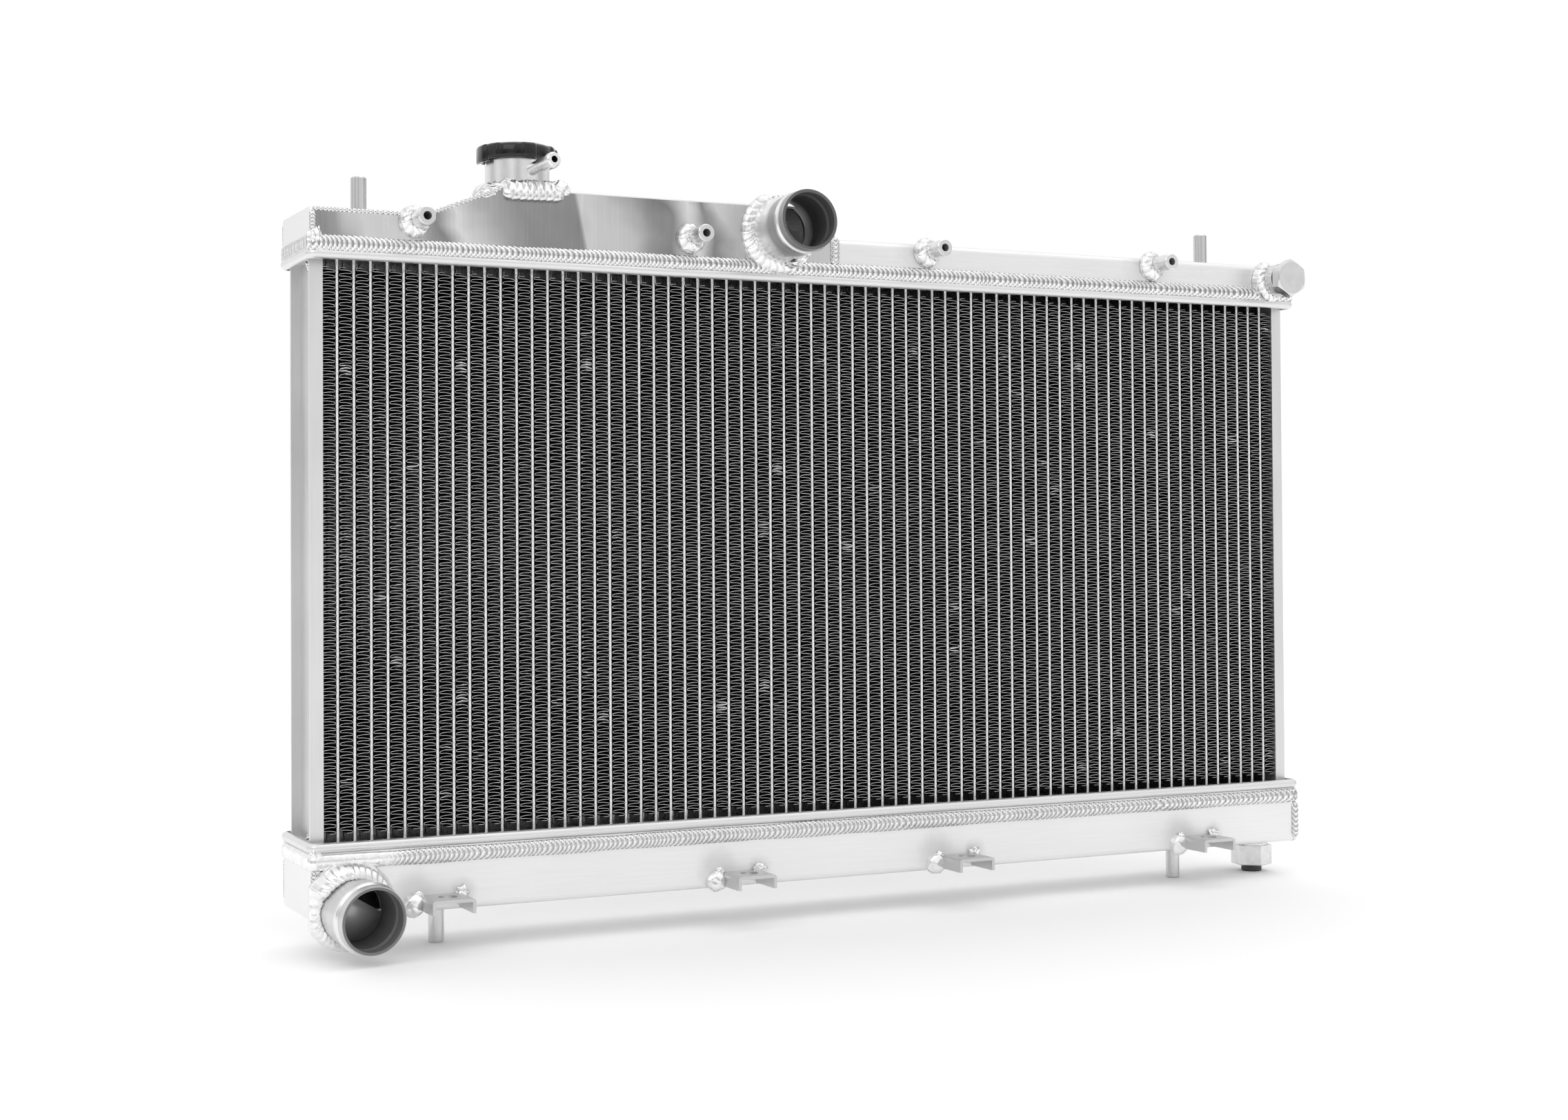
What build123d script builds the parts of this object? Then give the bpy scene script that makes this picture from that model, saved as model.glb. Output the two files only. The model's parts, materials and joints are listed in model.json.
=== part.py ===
from build123d import *
import os
from math import cos, pi, radians, sin

# All-aluminium car radiator, down-flow, two rows of tubes.
# Millimetres, +Z up, -Y is the side that the hoses and brackets face.
# The origin is under the middle of the overall box, at the level of the pin ends.

# ---- overall ----
OVERALL_DEPTH = 110.0
HEADER_WIDTH = 712.0
HEADER_DEPTH = 70.0
CORE_Y = OVERALL_DEPTH / 2 - HEADER_DEPTH / 2
CORE_BASE = 66.0
CORE_HEIGHT = 340.0
CORE_TOP = CORE_BASE + CORE_HEIGHT

# ---- core ----
TUBE_COUNT = 68
TUBE_PITCH = 10.0
TUBE_THICKNESS = 2.0
TUBE_DEPTH = 19.0
TUBE_WALL = 0.35
ROW_GAP = 4.0
TUBE_REACH = 12.0
CORE_DEPTH = 2 * TUBE_DEPTH + ROW_GAP
FIN_WIDTH = TUBE_PITCH - TUBE_THICKNESS
FIN_SHORTFALL = 5.0
CORE_WIDTH = TUBE_COUNT * TUBE_PITCH + FIN_WIDTH

# ---- headers and side plates ----
HEM_HEIGHT = 6.0
HEM_DROP = 2.0
HEM_RADIUS = 2.9
HEM_CORNER = 6.0
HEADER_SHEET = 2.5
HEM_INSET = 3.0
SIDE_SHEET = 2.0
SIDE_FLANGE = 8.0
SIDE_DEPTH = CORE_DEPTH + 2 * SIDE_SHEET

# ---- tanks ----
SHEET = 2.0
TANK_WIDTH = 708.0
TANK_DEPTH = 66.0
BEND_RADIUS = 4.0
SEAT_RISE = HEM_HEIGHT - HEM_DROP
LOW_TANK_TOP = CORE_TOP + 28.0
RAISED_TANK_TOP = CORE_TOP + 47.5
SLOPE_FOOT_X = -285.0
SLOPE_HEAD_X = -237.0
STEP_X = -14.0
LOWER_TANK_BASE = CORE_BASE - 42.0
TANK_FRONT_Y = CORE_Y - TANK_DEPTH / 2

# ---- hose pipes ----
PIPE_WALL = 2.0
BEAD_RISE = 1.2
BEAD_SETBACK = 8.0
INLET_RADIUS = 19.0
INLET_X = -52.5
INLET_Z = CORE_TOP + 30.5
INLET_TILT = 3.0
INLET_FLARE = 2.0
OUTLET_RADIUS = 19.7
OUTLET_X = -331.0
OUTLET_Z = CORE_BASE - 37.5
OUTLET_YAW = 8.0
OUTLET_DIP = 3.0
OUTLET_LENGTH = 34.0

# ---- filler neck and cap ----
NECK_X = -217.0
NECK_RADIUS = 19.75
NECK_BORE = 17.5
NECK_TOP = CORE_TOP + 72.0
FLANGE_RADIUS = 21.3
FLANGE_THICKNESS = 1.4
SEAT_Z = CORE_TOP + 52.0
SEAT_BORE = 13.0
CAM_STEPS = 5
CAM_STEP_ANGLE = 15.0
CAM_START = -12.0
CAM_LEAD = 10.0
CAP_RISE = 1.5
CAP_TURN = 90.0
LIP_TOP = NECK_TOP - 3.4
CAP_RADIUS = 23.6
CAP_TOP = CORE_TOP + 77.5
EAR_RADIUS = 25.3
NIPPLE_RADIUS = 4.0
NIPPLE_BORE = 2.1
NIPPLE_REACH = 46.5
COLLAR_RADIUS = 4.6
COLLAR_LENGTH = 3.4
COLLAR_CHAMFER = 0.8
NIPPLE_YAW = 9.5
NIPPLE_RISE = 5.0
NIPPLE_Z = CORE_TOP + 61.0

# ---- pins, bosses, brackets ----
PIN_RADIUS = 4.75
PIN_LENGTH = 24.0
PIN_CHAMFER = 0.8
UPPER_PIN_X = (-316.5, 299.0)
LOWER_PIN_X = (-270.0, 270.0)
BOSS_RADIUS = 5.4
BOSS_BORE = 2.5
BOSS_LENGTH = 21.0
BOSS_DEPTH = 14.0
BOSS_Z = CORE_TOP + 23.5
BOSS_X = (-290.4, -113.5, 55.8, 235.0)
BRACKET_WIDTH = 26.0
BRACKET_REACH = 26.0
BRACKET_DROP = 8.5
BRACKET_SHEET = 2.0
BRACKET_HOLE = 5.5
BRACKET_TOP = CORE_BASE - 32.0
BRACKET_X = (-277.0, -83.5, 73.5, 267.0)

# ---- bleed plug (upper right) and drain plug (lower right) ----
THREAD_CLEARANCE = 0.05
BLEED_X = 335.0
BLEED_Z = CORE_TOP + 16.8
BLEED_BOSS_RADIUS = 11.0
BLEED_BOSS_LENGTH = 16.0
BLEED_BORE = 8.1
BLEED_FLATS = 23.0
BLEED_HEAD = 7.0
BLEED_WASHER = 1.5
DRAIN_X = 339.5
DRAIN_BORE = 6.1
DRAIN_BOSS_CORNER = 14.4
DRAIN_BOSS_FOOT = LOWER_TANK_BASE - 19.0
DRAIN_STEM_RADIUS = 11.6
DRAIN_STEM_HEIGHT = 5.0
DRAIN_SEAL = 1.0
DRAIN_HEAD = 4.0
DRAIN_HEAD_RADIUS = 7.2

# ---- weld beads ----
SEAM_HEIGHT = 6.5
EDGE_BEAD = 1.3
CAP_BEAD = 1.0
INLET_WELD = 5.5
OUTLET_WELD = 6.0
BLEED_WELD = 4.5
BOSS_WELD = 3.4
DRAIN_WELD = 2.5
NECK_WELD = 6.0
BRACKET_BLOB = 3.6

TUBE_X = [(i - (TUBE_COUNT - 1) / 2) * TUBE_PITCH for i in range(TUBE_COUNT)]
ROW_Y = (CORE_Y - (ROW_GAP + TUBE_DEPTH) / 2, CORE_Y + (ROW_GAP + TUBE_DEPTH) / 2)


def block(x0, x1, y0, y1, z0, z1):
    """A box between two corners."""
    size = (x1 - x0, y1 - y0, z1 - z0)
    centre = ((x0 + x1) / 2, (y0 + y1) / 2, (z0 + z1) / 2)
    return Pos(*centre) * Box(*size)


def disc(radius, z0, z1, x=0.0, y=0.0):
    """An upright cylinder between two levels."""
    return Pos(x, y, (z0 + z1) / 2) * Cylinder(radius, z1 - z0)


def ring(outer, inner, z0, z1, x=0.0, y=0.0):
    """An upright tube between two levels."""
    return disc(outer, z0, z1, x, y) - disc(inner, z0 - 1, z1 + 1, x, y)


def turned(points):
    """A solid of revolution about Z from (radius, height) points."""
    profile = make_face(Polyline(*[(r, 0, z) for r, z in points], close=True))
    return revolve(profile, Axis.Z)


def mirrored_down(shape):
    """Turns a piece made for the top of the core into its twin at the bottom."""
    middle = Plane.XY.offset((CORE_BASE + CORE_TOP) / 2)
    return mirror(shape, about=middle)


# ---------------------------------------------------------------- core

def tube_row(y):
    """One row of flat brazed tubes, open at both ends."""
    outer = SlotOverall(TUBE_DEPTH, TUBE_THICKNESS, rotation=90)
    inner = SlotOverall(TUBE_DEPTH - 2 * TUBE_WALL, TUBE_THICKNESS - 2 * TUBE_WALL, rotation=90)
    tube = extrude(outer - inner, CORE_HEIGHT + 2 * TUBE_REACH)
    return Compound(children=[Pos(x, y, CORE_BASE - TUBE_REACH) * tube for x in TUBE_X])


def fin_strips():
    """The space of each folded fin strip, from the front of the core to the back."""
    x_first = TUBE_X[0] - TUBE_PITCH / 2
    strip = Box(FIN_WIDTH, CORE_DEPTH, CORE_HEIGHT - 2 * FIN_SHORTFALL)
    z = (CORE_BASE + CORE_TOP) / 2
    return Compound(children=[Pos(x_first + i * TUBE_PITCH, CORE_Y, z) * strip
                              for i in range(TUBE_COUNT + 1)])


def upper_header_plate():
    """Hemmed plate with a slot for each tube; its hem stands round the ends of the side plates."""
    blank = extrude(RectangleRounded(HEADER_WIDTH, HEADER_DEPTH, HEM_CORNER), HEM_HEIGHT)
    rims = blank.faces().filter_by(Axis.Z).edges()
    blank = fillet(rims, HEM_RADIUS)
    inner = (HEADER_WIDTH - 2 * HEM_INSET, HEADER_DEPTH - 2 * HEM_INSET)
    below = extrude(RectangleRounded(*inner, HEM_CORNER - HEM_INSET), HEM_DROP)
    well = (TANK_WIDTH - 4 * SHEET, TANK_DEPTH - 4 * SHEET)
    floor_level = HEM_DROP + HEADER_SHEET
    above = Pos(0, 0, floor_level) * extrude(Rectangle(*well), HEM_HEIGHT - floor_level)
    plate = Pos(0, CORE_Y, CORE_TOP - HEM_DROP) * (blank - below - above)
    slot = extrude(SlotOverall(TUBE_DEPTH, TUBE_THICKNESS, rotation=90), HEM_HEIGHT)
    return plate - [Pos(x, y, CORE_TOP - 1) * slot for y in ROW_Y for x in TUBE_X]


def side_plate(side):
    """Channel that closes one side of the core, its open side outwards."""
    half = CORE_WIDTH / 2
    channel = block(half, half + SIDE_FLANGE, CORE_Y - SIDE_DEPTH / 2, CORE_Y + SIDE_DEPTH / 2,
                    CORE_BASE, CORE_TOP)
    hollow = block(half + SIDE_SHEET, half + SIDE_FLANGE, CORE_Y - CORE_DEPTH / 2,
                   CORE_Y + CORE_DEPTH / 2, CORE_BASE, CORE_TOP)
    plate = channel - hollow
    return plate if side > 0 else mirror(plate, about=Plane.YZ)


# ---------------------------------------------------------------- upper tank

def raised_outline(drop):
    """Corner points of the raised part's top, lowered by drop, from the left end to the step."""
    return [
        (-TANK_WIDTH / 2 + SHEET, LOW_TANK_TOP - drop),
        (SLOPE_FOOT_X, LOW_TANK_TOP - drop),
        (SLOPE_HEAD_X, RAISED_TANK_TOP - drop),
        (STEP_X, RAISED_TANK_TOP - drop),
    ]


def raised_solid(drop, y0, y1, z0):
    """The raised part's side view as a solid between two depths, down to level z0."""
    top = raised_outline(drop)
    points = [(top[0][0], z0)] + top + [(STEP_X, z0)]
    face = make_face(Polyline(*[(x, 0, z) for x, z in points], close=True))
    return Pos(0, y1, 0) * extrude(face, y1 - y0, dir=(0, -1, 0))


def pipe_tool(radius, reach=30.0):
    """The inlet's bore as a cutter through the front wall."""
    place = Location((INLET_X, TANK_FRONT_Y, INLET_Z), (90 - INLET_TILT, 0, 0))
    return place * Cylinder(radius, reach)


def upper_tank_front_plate():
    """Front wall of the raised part, with the inlet's hole."""
    wall = raised_solid(SHEET, TANK_FRONT_Y, TANK_FRONT_Y + SHEET, CORE_TOP + SEAT_RISE)
    return wall - pipe_tool(INLET_RADIUS - PIPE_WALL)


def upper_tank_back_plate():
    """Back wall of the raised part."""
    back = TANK_FRONT_Y + TANK_DEPTH
    return raised_solid(SHEET, back - SHEET, back, CORE_TOP + SEAT_RISE)


def upper_tank_top_plate():
    """Folded top strip: flat over the left end, up the slope, flat to the step."""
    back = TANK_FRONT_Y + TANK_DEPTH
    strip = raised_solid(0, TANK_FRONT_Y, back, CORE_TOP + SEAT_RISE)
    strip = strip - raised_solid(SHEET, TANK_FRONT_Y - 1, back + 1, CORE_TOP)
    crown = strip.edges().filter_by(Axis.X).filter_by_position(
        Axis.Z, RAISED_TANK_TOP - 0.1, RAISED_TANK_TOP + 0.1)
    strip = fillet(crown, SHEET - 0.2)
    return strip - disc(NECK_RADIUS, LOW_TANK_TOP, RAISED_TANK_TOP + 10, NECK_X, CORE_Y)


def low_channel_solid(inset, x0, x1):
    """Bent channel section of the low part, shrunk by inset."""
    height = LOW_TANK_TOP - CORE_TOP - SEAT_RISE - inset
    z = CORE_TOP + SEAT_RISE + height / 2
    bar = Pos((x0 + x1) / 2, CORE_Y, z) * Box(x1 - x0, TANK_DEPTH - 2 * inset, height)
    bends = bar.edges().filter_by(Axis.X).sort_by(Axis.Z)[-2:]
    return fillet(bends, BEND_RADIUS - inset)


def bleed_tool(radius):
    """Cutter along the bleed plug's axis."""
    place = Location((BLEED_X, TANK_FRONT_Y, BLEED_Z), (90, 0, 0))
    return place * Cylinder(radius, 60)


def upper_tank_low_channel():
    """Bent channel over the low right-hand part, open downwards."""
    x1 = TANK_WIDTH / 2 - SHEET
    channel = low_channel_solid(0, STEP_X, x1) - low_channel_solid(SHEET, STEP_X - 1, x1 + 1)
    return channel - bleed_tool(BLEED_BORE)


def upper_tank_step_wall():
    """Small wall that closes the raised part above the low channel."""
    inner = TANK_DEPTH / 2 - SHEET
    return block(STEP_X - SHEET, STEP_X, CORE_Y - inner, CORE_Y + inner,
                 LOW_TANK_TOP - SHEET, RAISED_TANK_TOP - SHEET)


def upper_end_cap(side):
    """Flat plate that closes one end of the upper tank."""
    x = side * (TANK_WIDTH / 2 - SHEET / 2)
    z0 = CORE_TOP + SEAT_RISE
    plate = Pos(x, CORE_Y, (z0 + LOW_TANK_TOP) / 2) * Box(SHEET, TANK_DEPTH, LOW_TANK_TOP - z0)
    corners = plate.edges().filter_by(Axis.X).sort_by(Axis.Z)[-2:]
    return fillet(corners, BEND_RADIUS - 1)


# ---------------------------------------------------------------- lower tank

def lower_tank_solid(inset, x0, x1):
    """Bent channel section of the lower tank, shrunk by inset."""
    top = CORE_BASE - SEAT_RISE
    height = top - LOWER_TANK_BASE - inset
    bar = Pos((x0 + x1) / 2, CORE_Y, top - height / 2) * Box(x1 - x0, TANK_DEPTH - 2 * inset, height)
    bends = bar.edges().filter_by(Axis.X).sort_by(Axis.Z)[:2]
    return fillet(bends, BEND_RADIUS - inset)


def outlet_axis():
    """Unit vector out of the outlet pipe."""
    yaw = radians(OUTLET_YAW)
    dip = radians(OUTLET_DIP)
    return Vector(sin(yaw) * cos(dip), -cos(yaw) * cos(dip), -sin(dip))


def outlet_plane():
    """Plane at the outlet's root, its normal along the pipe."""
    return Plane(origin=(OUTLET_X, TANK_FRONT_Y, OUTLET_Z), z_dir=outlet_axis())


def lower_tank_channel():
    """Bent channel under the core, with the outlet's and the drain's holes."""
    end = TANK_WIDTH / 2 - SHEET
    channel = lower_tank_solid(0, -end, end) - lower_tank_solid(SHEET, -end - 1, end + 1)
    bore = outlet_plane() * Cylinder(OUTLET_RADIUS - PIPE_WALL, 20)
    bore = bore & block(OUTLET_X - 40, OUTLET_X + 40, TANK_FRONT_Y - 1, TANK_FRONT_Y + SHEET + 1,
                        LOWER_TANK_BASE + SHEET, CORE_BASE)
    return channel - bore - disc(DRAIN_BORE, 0, LOWER_TANK_BASE + 10, DRAIN_X, CORE_Y)


def lower_end_cap(side):
    """Flat plate that closes one end of the lower tank."""
    x = side * (TANK_WIDTH / 2 - SHEET / 2)
    z1 = CORE_BASE - SEAT_RISE
    z = (z1 + LOWER_TANK_BASE) / 2
    plate = Pos(x, CORE_Y, z) * Box(SHEET, TANK_DEPTH, z1 - LOWER_TANK_BASE)
    corners = plate.edges().filter_by(Axis.X).sort_by(Axis.Z)[:2]
    return fillet(corners, BEND_RADIUS - 1)


# ---------------------------------------------------------------- hose pipes

def pipe_profile(radius, length, back, flare):
    """Hose pipe about Z: it runs from -back to its mouth at length, with a hose bead."""
    bore = radius - PIPE_WALL
    bead = length - BEAD_SETBACK
    points = [
        (bore + flare, -back),
        (radius + flare, -back),
        (radius + flare, length * 0.15),
        (radius, length * 0.5),
        (radius, bead - 2.5),
        (radius + BEAD_RISE, bead - 1),
        (radius + BEAD_RISE, bead + 1),
        (radius, bead + 2.5),
        (radius, length),
        (bore, length),
        (bore, bead + 2.5),
        (bore + BEAD_RISE, bead + 1),
        (bore + BEAD_RISE, bead - 1),
        (bore, bead - 2.5),
        (bore, length * 0.5),
        (bore + flare, length * 0.15),
    ]
    return turned(points)


def inlet_length():
    """Length that brings the mouth's lower lip to the front of the overall box."""
    tilt = radians(INLET_TILT)
    reach = OVERALL_DEPTH / 2 + TANK_FRONT_Y
    return (reach - INLET_RADIUS * sin(tilt)) / cos(tilt)


def inlet_pipe():
    """Upper hose pipe, flared at its root and cut flush with the front wall."""
    length = inlet_length()
    place = Location((INLET_X, TANK_FRONT_Y, INLET_Z), (90 - INLET_TILT, 0, 0))
    pipe = place * pipe_profile(INLET_RADIUS, length, 3, INLET_FLARE)
    return pipe - block(INLET_X - 50, INLET_X + 50, TANK_FRONT_Y, TANK_FRONT_Y + 50,
                        INLET_Z - 50, INLET_Z + 50)


def outlet_pipe():
    """Lower hose pipe, turned towards the core's middle and dipping a little."""
    pipe = outlet_plane() * pipe_profile(OUTLET_RADIUS, OUTLET_LENGTH, 6, 0)
    return pipe - block(OUTLET_X - 50, OUTLET_X + 50, TANK_FRONT_Y, TANK_FRONT_Y + 50,
                        OUTLET_Z - 50, OUTLET_Z + 50)


def outlet_saddle():
    """Flat piece that closes the outlet's root below and beside the tank's front wall."""
    root = outlet_plane() * Cylinder(OUTLET_RADIUS - 0.2, 30)
    plate = block(OUTLET_X - 40, OUTLET_X + 40, TANK_FRONT_Y, TANK_FRONT_Y + SHEET,
                  OUTLET_Z - 40, LOWER_TANK_BASE)
    corner = lower_tank_solid(0, -TANK_WIDTH / 2, TANK_WIDTH / 2)
    shelf = block(OUTLET_X - 40, OUTLET_X + 40, TANK_FRONT_Y, TANK_FRONT_Y + BEND_RADIUS + SHEET,
                  LOWER_TANK_BASE - SHEET, LOWER_TANK_BASE + BEND_RADIUS)
    return (root & (plate + shelf)) - corner


# ---------------------------------------------------------------- filler neck

def on_neck(shape):
    """Moves a piece made about Z onto the filler neck's axis."""
    return Pos(NECK_X, CORE_Y, 0) * shape


def cam_steps():
    """Two falling runs of small steps under the flange, which let the cap's lips climb."""
    steps = []
    far = 2 * NECK_RADIUS
    for start in (CAM_START, 180 + CAM_START):
        for k in range(CAM_STEPS):
            rise = CAP_RISE * (CAM_STEP_ANGLE * (k + 1) + CAM_LEAD) / CAP_TURN
            sector = ring(FLANGE_RADIUS, NECK_RADIUS - 0.5, LIP_TOP + 0.3 + rise,
                          NECK_TOP - FLANGE_THICKNESS + 0.1)
            first = radians(start + k * CAM_STEP_ANGLE)
            last = radians(start + (k + 1) * CAM_STEP_ANGLE + 1)
            corners = [(0, 0)] + [(far * cos(a), far * sin(a)) for a in (first, last)]
            wedge = extrude(make_face(Polyline(*corners, close=True)), 20)
            steps.append(on_neck(sector & (Pos(0, 0, NECK_TOP - 10) * wedge)))
    return steps


def nipple_place():
    """Frame at the nipple's root on the neck's axis, its Z along the nipple."""
    yaw = radians(NIPPLE_YAW)
    rise = radians(NIPPLE_RISE)
    along = Vector(sin(yaw) * cos(rise), -cos(yaw) * cos(rise), sin(rise))
    return Plane(origin=(NECK_X, CORE_Y, NIPPLE_Z - NECK_RADIUS * sin(rise)), z_dir=along)


def filler_neck():
    """Neck with the cap's flange on top and the valve's seat inside."""
    neck = on_neck(turned([
        (NECK_BORE, RAISED_TANK_TOP - 4),
        (NECK_RADIUS, RAISED_TANK_TOP - 4),
        (NECK_RADIUS, NECK_TOP - FLANGE_THICKNESS),
        (FLANGE_RADIUS, NECK_TOP - FLANGE_THICKNESS),
        (FLANGE_RADIUS, NECK_TOP),
        (NECK_BORE, NECK_TOP),
        (NECK_BORE, SEAT_Z),
        (SEAT_BORE, SEAT_Z),
        (SEAT_BORE, SEAT_Z - 2.5),
        (NECK_BORE, SEAT_Z - 2.5),
    ]))
    for step in cam_steps():
        neck = neck + step
    return neck - nipple_place() * (Pos(0, 0, 25) * Cylinder(NIPPLE_RADIUS, 50))


def overflow_nipple():
    """Short hose nipple on the neck, with a collar at its mouth."""
    end = NIPPLE_REACH
    collar_end = end - COLLAR_CHAMFER
    collar_start = collar_end - COLLAR_LENGTH
    tube = turned([
        (NIPPLE_BORE, NECK_BORE),
        (NIPPLE_RADIUS, NECK_BORE),
        (NIPPLE_RADIUS, collar_start - COLLAR_CHAMFER),
        (COLLAR_RADIUS, collar_start),
        (COLLAR_RADIUS, collar_end),
        (COLLAR_RADIUS - COLLAR_CHAMFER, end),
        (NIPPLE_BORE, end),
    ])
    placed = nipple_place() * tube
    return placed - disc(NECK_BORE, NIPPLE_Z - 20, NIPPLE_Z + 20, NECK_X, CORE_Y)


# ---------------------------------------------------------------- cap and valves

def cap_cover():
    """Black cover with a skirt and two grip ears."""
    skirt_base = LIP_TOP - 1.1
    cover = turned([
        (0, CAP_TOP - 2.5),
        (CAP_RADIUS - 1.4, CAP_TOP - 2.5),
        (CAP_RADIUS - 1.4, skirt_base),
        (CAP_RADIUS, skirt_base),
        (CAP_RADIUS, CAP_TOP - 1.5),
        (CAP_RADIUS - 1.5, CAP_TOP),
        (0, CAP_TOP),
    ])
    for side in (-1, 1):
        ear = block(20, EAR_RADIUS, -7, 7, skirt_base - 1.7, CAP_TOP - 4)
        ear = ear & disc(EAR_RADIUS, skirt_base - 5, CAP_TOP)
        ear = ear - disc(CAP_RADIUS - 1.4, skirt_base - 5, CAP_TOP)
        cover = cover + (ear if side > 0 else mirror(ear, about=Plane.YZ))
    return on_neck(cover)


def cap_locking_plate():
    """Steel disc under the cover, with two lips that hook under the neck's flange."""
    disc_base = NECK_TOP + 1.2
    outer = FLANGE_RADIUS + 0.8
    plate = ring(outer, 3.0, disc_base, disc_base + 1.2)
    arms = ring(outer, FLANGE_RADIUS + 0.2, LIP_TOP - 1, disc_base + 0.5)
    lips = ring(outer, NECK_RADIUS + 0.35, LIP_TOP - 1, LIP_TOP)
    hooks = (arms + lips) & block(-40, 40, -3.5, 3.5, LIP_TOP - 2, disc_base + 0.5)
    return on_neck(plate + hooks)


def cap_gasket():
    """Rubber ring that seals the cap to the flange's top."""
    return on_neck(ring(FLANGE_RADIUS, 16.2, NECK_TOP, NECK_TOP + 1.2))


def valve_bell():
    """Sheet bell that guides the pressure spring, with a lip that keeps the valve."""
    top = NECK_TOP + 1.2
    return on_neck(turned([
        (2.5, top - 1),
        (12.5, top - 1),
        (12.5, top - 8),
        (12.1, top - 8),
        (12.1, top - 8.8),
        (13.3, top - 8.8),
        (13.3, top - 1),
        (16.0, top - 1),
        (16.0, top),
        (2.5, top),
    ]))


def cap_rivet():
    """Swivel rivet that holds the bell under the locking plate."""
    top = NECK_TOP + 1.2
    return on_neck(turned([
        (0, top - 4),
        (4.5, top - 4),
        (4.5, top - 1),
        (2.5, top - 1),
        (2.5, top + 1.25),
        (5.0, top + 1.25),
        (5.0, top + 1.75),
        (0, top + 1.75),
    ]))


def coil_spring(radius, wire, z0, z1, turns):
    """Coil spring about Z between two levels."""
    pitch = (z1 - z0 - wire) / turns
    path = Helix(pitch, pitch * turns, radius)
    start = Plane(origin=path @ 0, z_dir=path % 0)
    coil = sweep(start * Circle(wire / 2), path)
    return on_neck(Pos(0, 0, z0 + wire / 2) * coil)


def pressure_spring():
    """Main spring, from the bell's roof down to the pressure valve."""
    return coil_spring(8.6, 1.6, SEAT_Z + 3.6, NECK_TOP + 0.1, 5)


def pressure_valve_plate():
    """Pressure valve: a disc with a guide tube that runs inside the bell."""
    base = SEAT_Z + 2
    return on_neck(turned([
        (1.35, base),
        (14.5, base),
        (14.5, base + 1.5),
        (11.8, base + 1.5),
        (11.8, NECK_TOP - 6.6),
        (12.35, NECK_TOP - 6.3),
        (12.35, NECK_TOP - 5.7),
        (11.0, NECK_TOP - 5.7),
        (11.0, base + 1.5),
        (1.35, base + 1.5),
    ])) - [on_neck(Rot(0, 0, a) * (Pos(3.6, 0, base) * Cylinder(0.9, 8))) for a in range(0, 360, 90)]


def pressure_valve_seal():
    """Rubber ring under the pressure valve; it rests on the neck's seat."""
    return on_neck(ring(15.5, 9.5, SEAT_Z, SEAT_Z + 2))


def vacuum_valve():
    """Small disc under the pressure valve, held up by its own spring."""
    roof = SEAT_Z + 2
    return on_neck(turned([
        (0, roof - 1),
        (6.0, roof - 1),
        (6.0, roof),
        (1.3, roof),
        (1.3, roof + 5.8),
        (2.8, roof + 5.8),
        (2.8, roof + 6.4),
        (0, roof + 6.4),
    ]))


def vacuum_spring():
    """Light spring between the pressure valve's plate and the vacuum valve's head."""
    return coil_spring(2.1, 0.4, SEAT_Z + 3.5, SEAT_Z + 7.8, 5)


# ---------------------------------------------------------------- pins, bosses, brackets

def mount_pin(x, level, up):
    """Plain pin that stands in a rubber bush on the car."""
    pin = Cylinder(PIN_RADIUS, PIN_LENGTH)
    free = pin.edges().sort_by(Axis.Z)[-1 if up > 0 else 0]
    pin = chamfer(free, PIN_CHAMFER)
    return Pos(x, CORE_Y, level + up * PIN_LENGTH / 2) * pin


def shroud_boss(x):
    """Tapped stand-off for the fan shroud's upper edge, one of four alike."""
    boss = Cylinder(BOSS_RADIUS, BOSS_LENGTH)
    boss = chamfer(boss.edges().sort_by(Axis.Z)[-1], 0.5)
    hole = Pos(0, 0, BOSS_LENGTH / 2 - BOSS_DEPTH / 2) * Cylinder(BOSS_BORE, BOSS_DEPTH)
    place = Location((x, TANK_FRONT_Y - BOSS_LENGTH / 2, BOSS_Z), (90, 0, 0))
    return place * (boss - hole)


def shroud_bracket(x):
    """Folded bracket for the fan shroud's lower edge, with a round hole in its top."""
    half = BRACKET_WIDTH / 2
    front = TANK_FRONT_Y - BRACKET_REACH
    body = block(x - half, x + half, front, TANK_FRONT_Y, BRACKET_TOP - BRACKET_DROP, BRACKET_TOP)
    folds = body.edges().filter_by(Axis.Y).sort_by(Axis.Z)[-2:]
    body = fillet(folds, BRACKET_SHEET)
    inner = half - BRACKET_SHEET
    hollow = block(x - inner, x + inner, front - 1, TANK_FRONT_Y + 1,
                   BRACKET_TOP - BRACKET_DROP - 1, BRACKET_TOP - BRACKET_SHEET)
    hole_y = TANK_FRONT_Y - BRACKET_REACH / 2
    return body - hollow - disc(BRACKET_HOLE, BRACKET_TOP - 5, BRACKET_TOP + 5, x, hole_y)


# ---------------------------------------------------------------- plugs

def bleed_place(shape):
    """Moves a piece made along Z, away from the tank, onto the bleed plug's axis."""
    return Location((BLEED_X, TANK_FRONT_Y, BLEED_Z), (90, 0, 0)) * shape


def bleed_boss():
    """Threaded boss at the right end of the upper tank."""
    return bleed_place(ring(BLEED_BOSS_RADIUS, BLEED_BORE, 0, BLEED_BOSS_LENGTH))


def bleed_seal():
    """Flat sealing washer under the bleed plug's head."""
    base = BLEED_BOSS_LENGTH
    return bleed_place(ring(BLEED_BOSS_RADIUS + 0.3, BLEED_BORE + 0.1, base, base + BLEED_WASHER))


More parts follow.
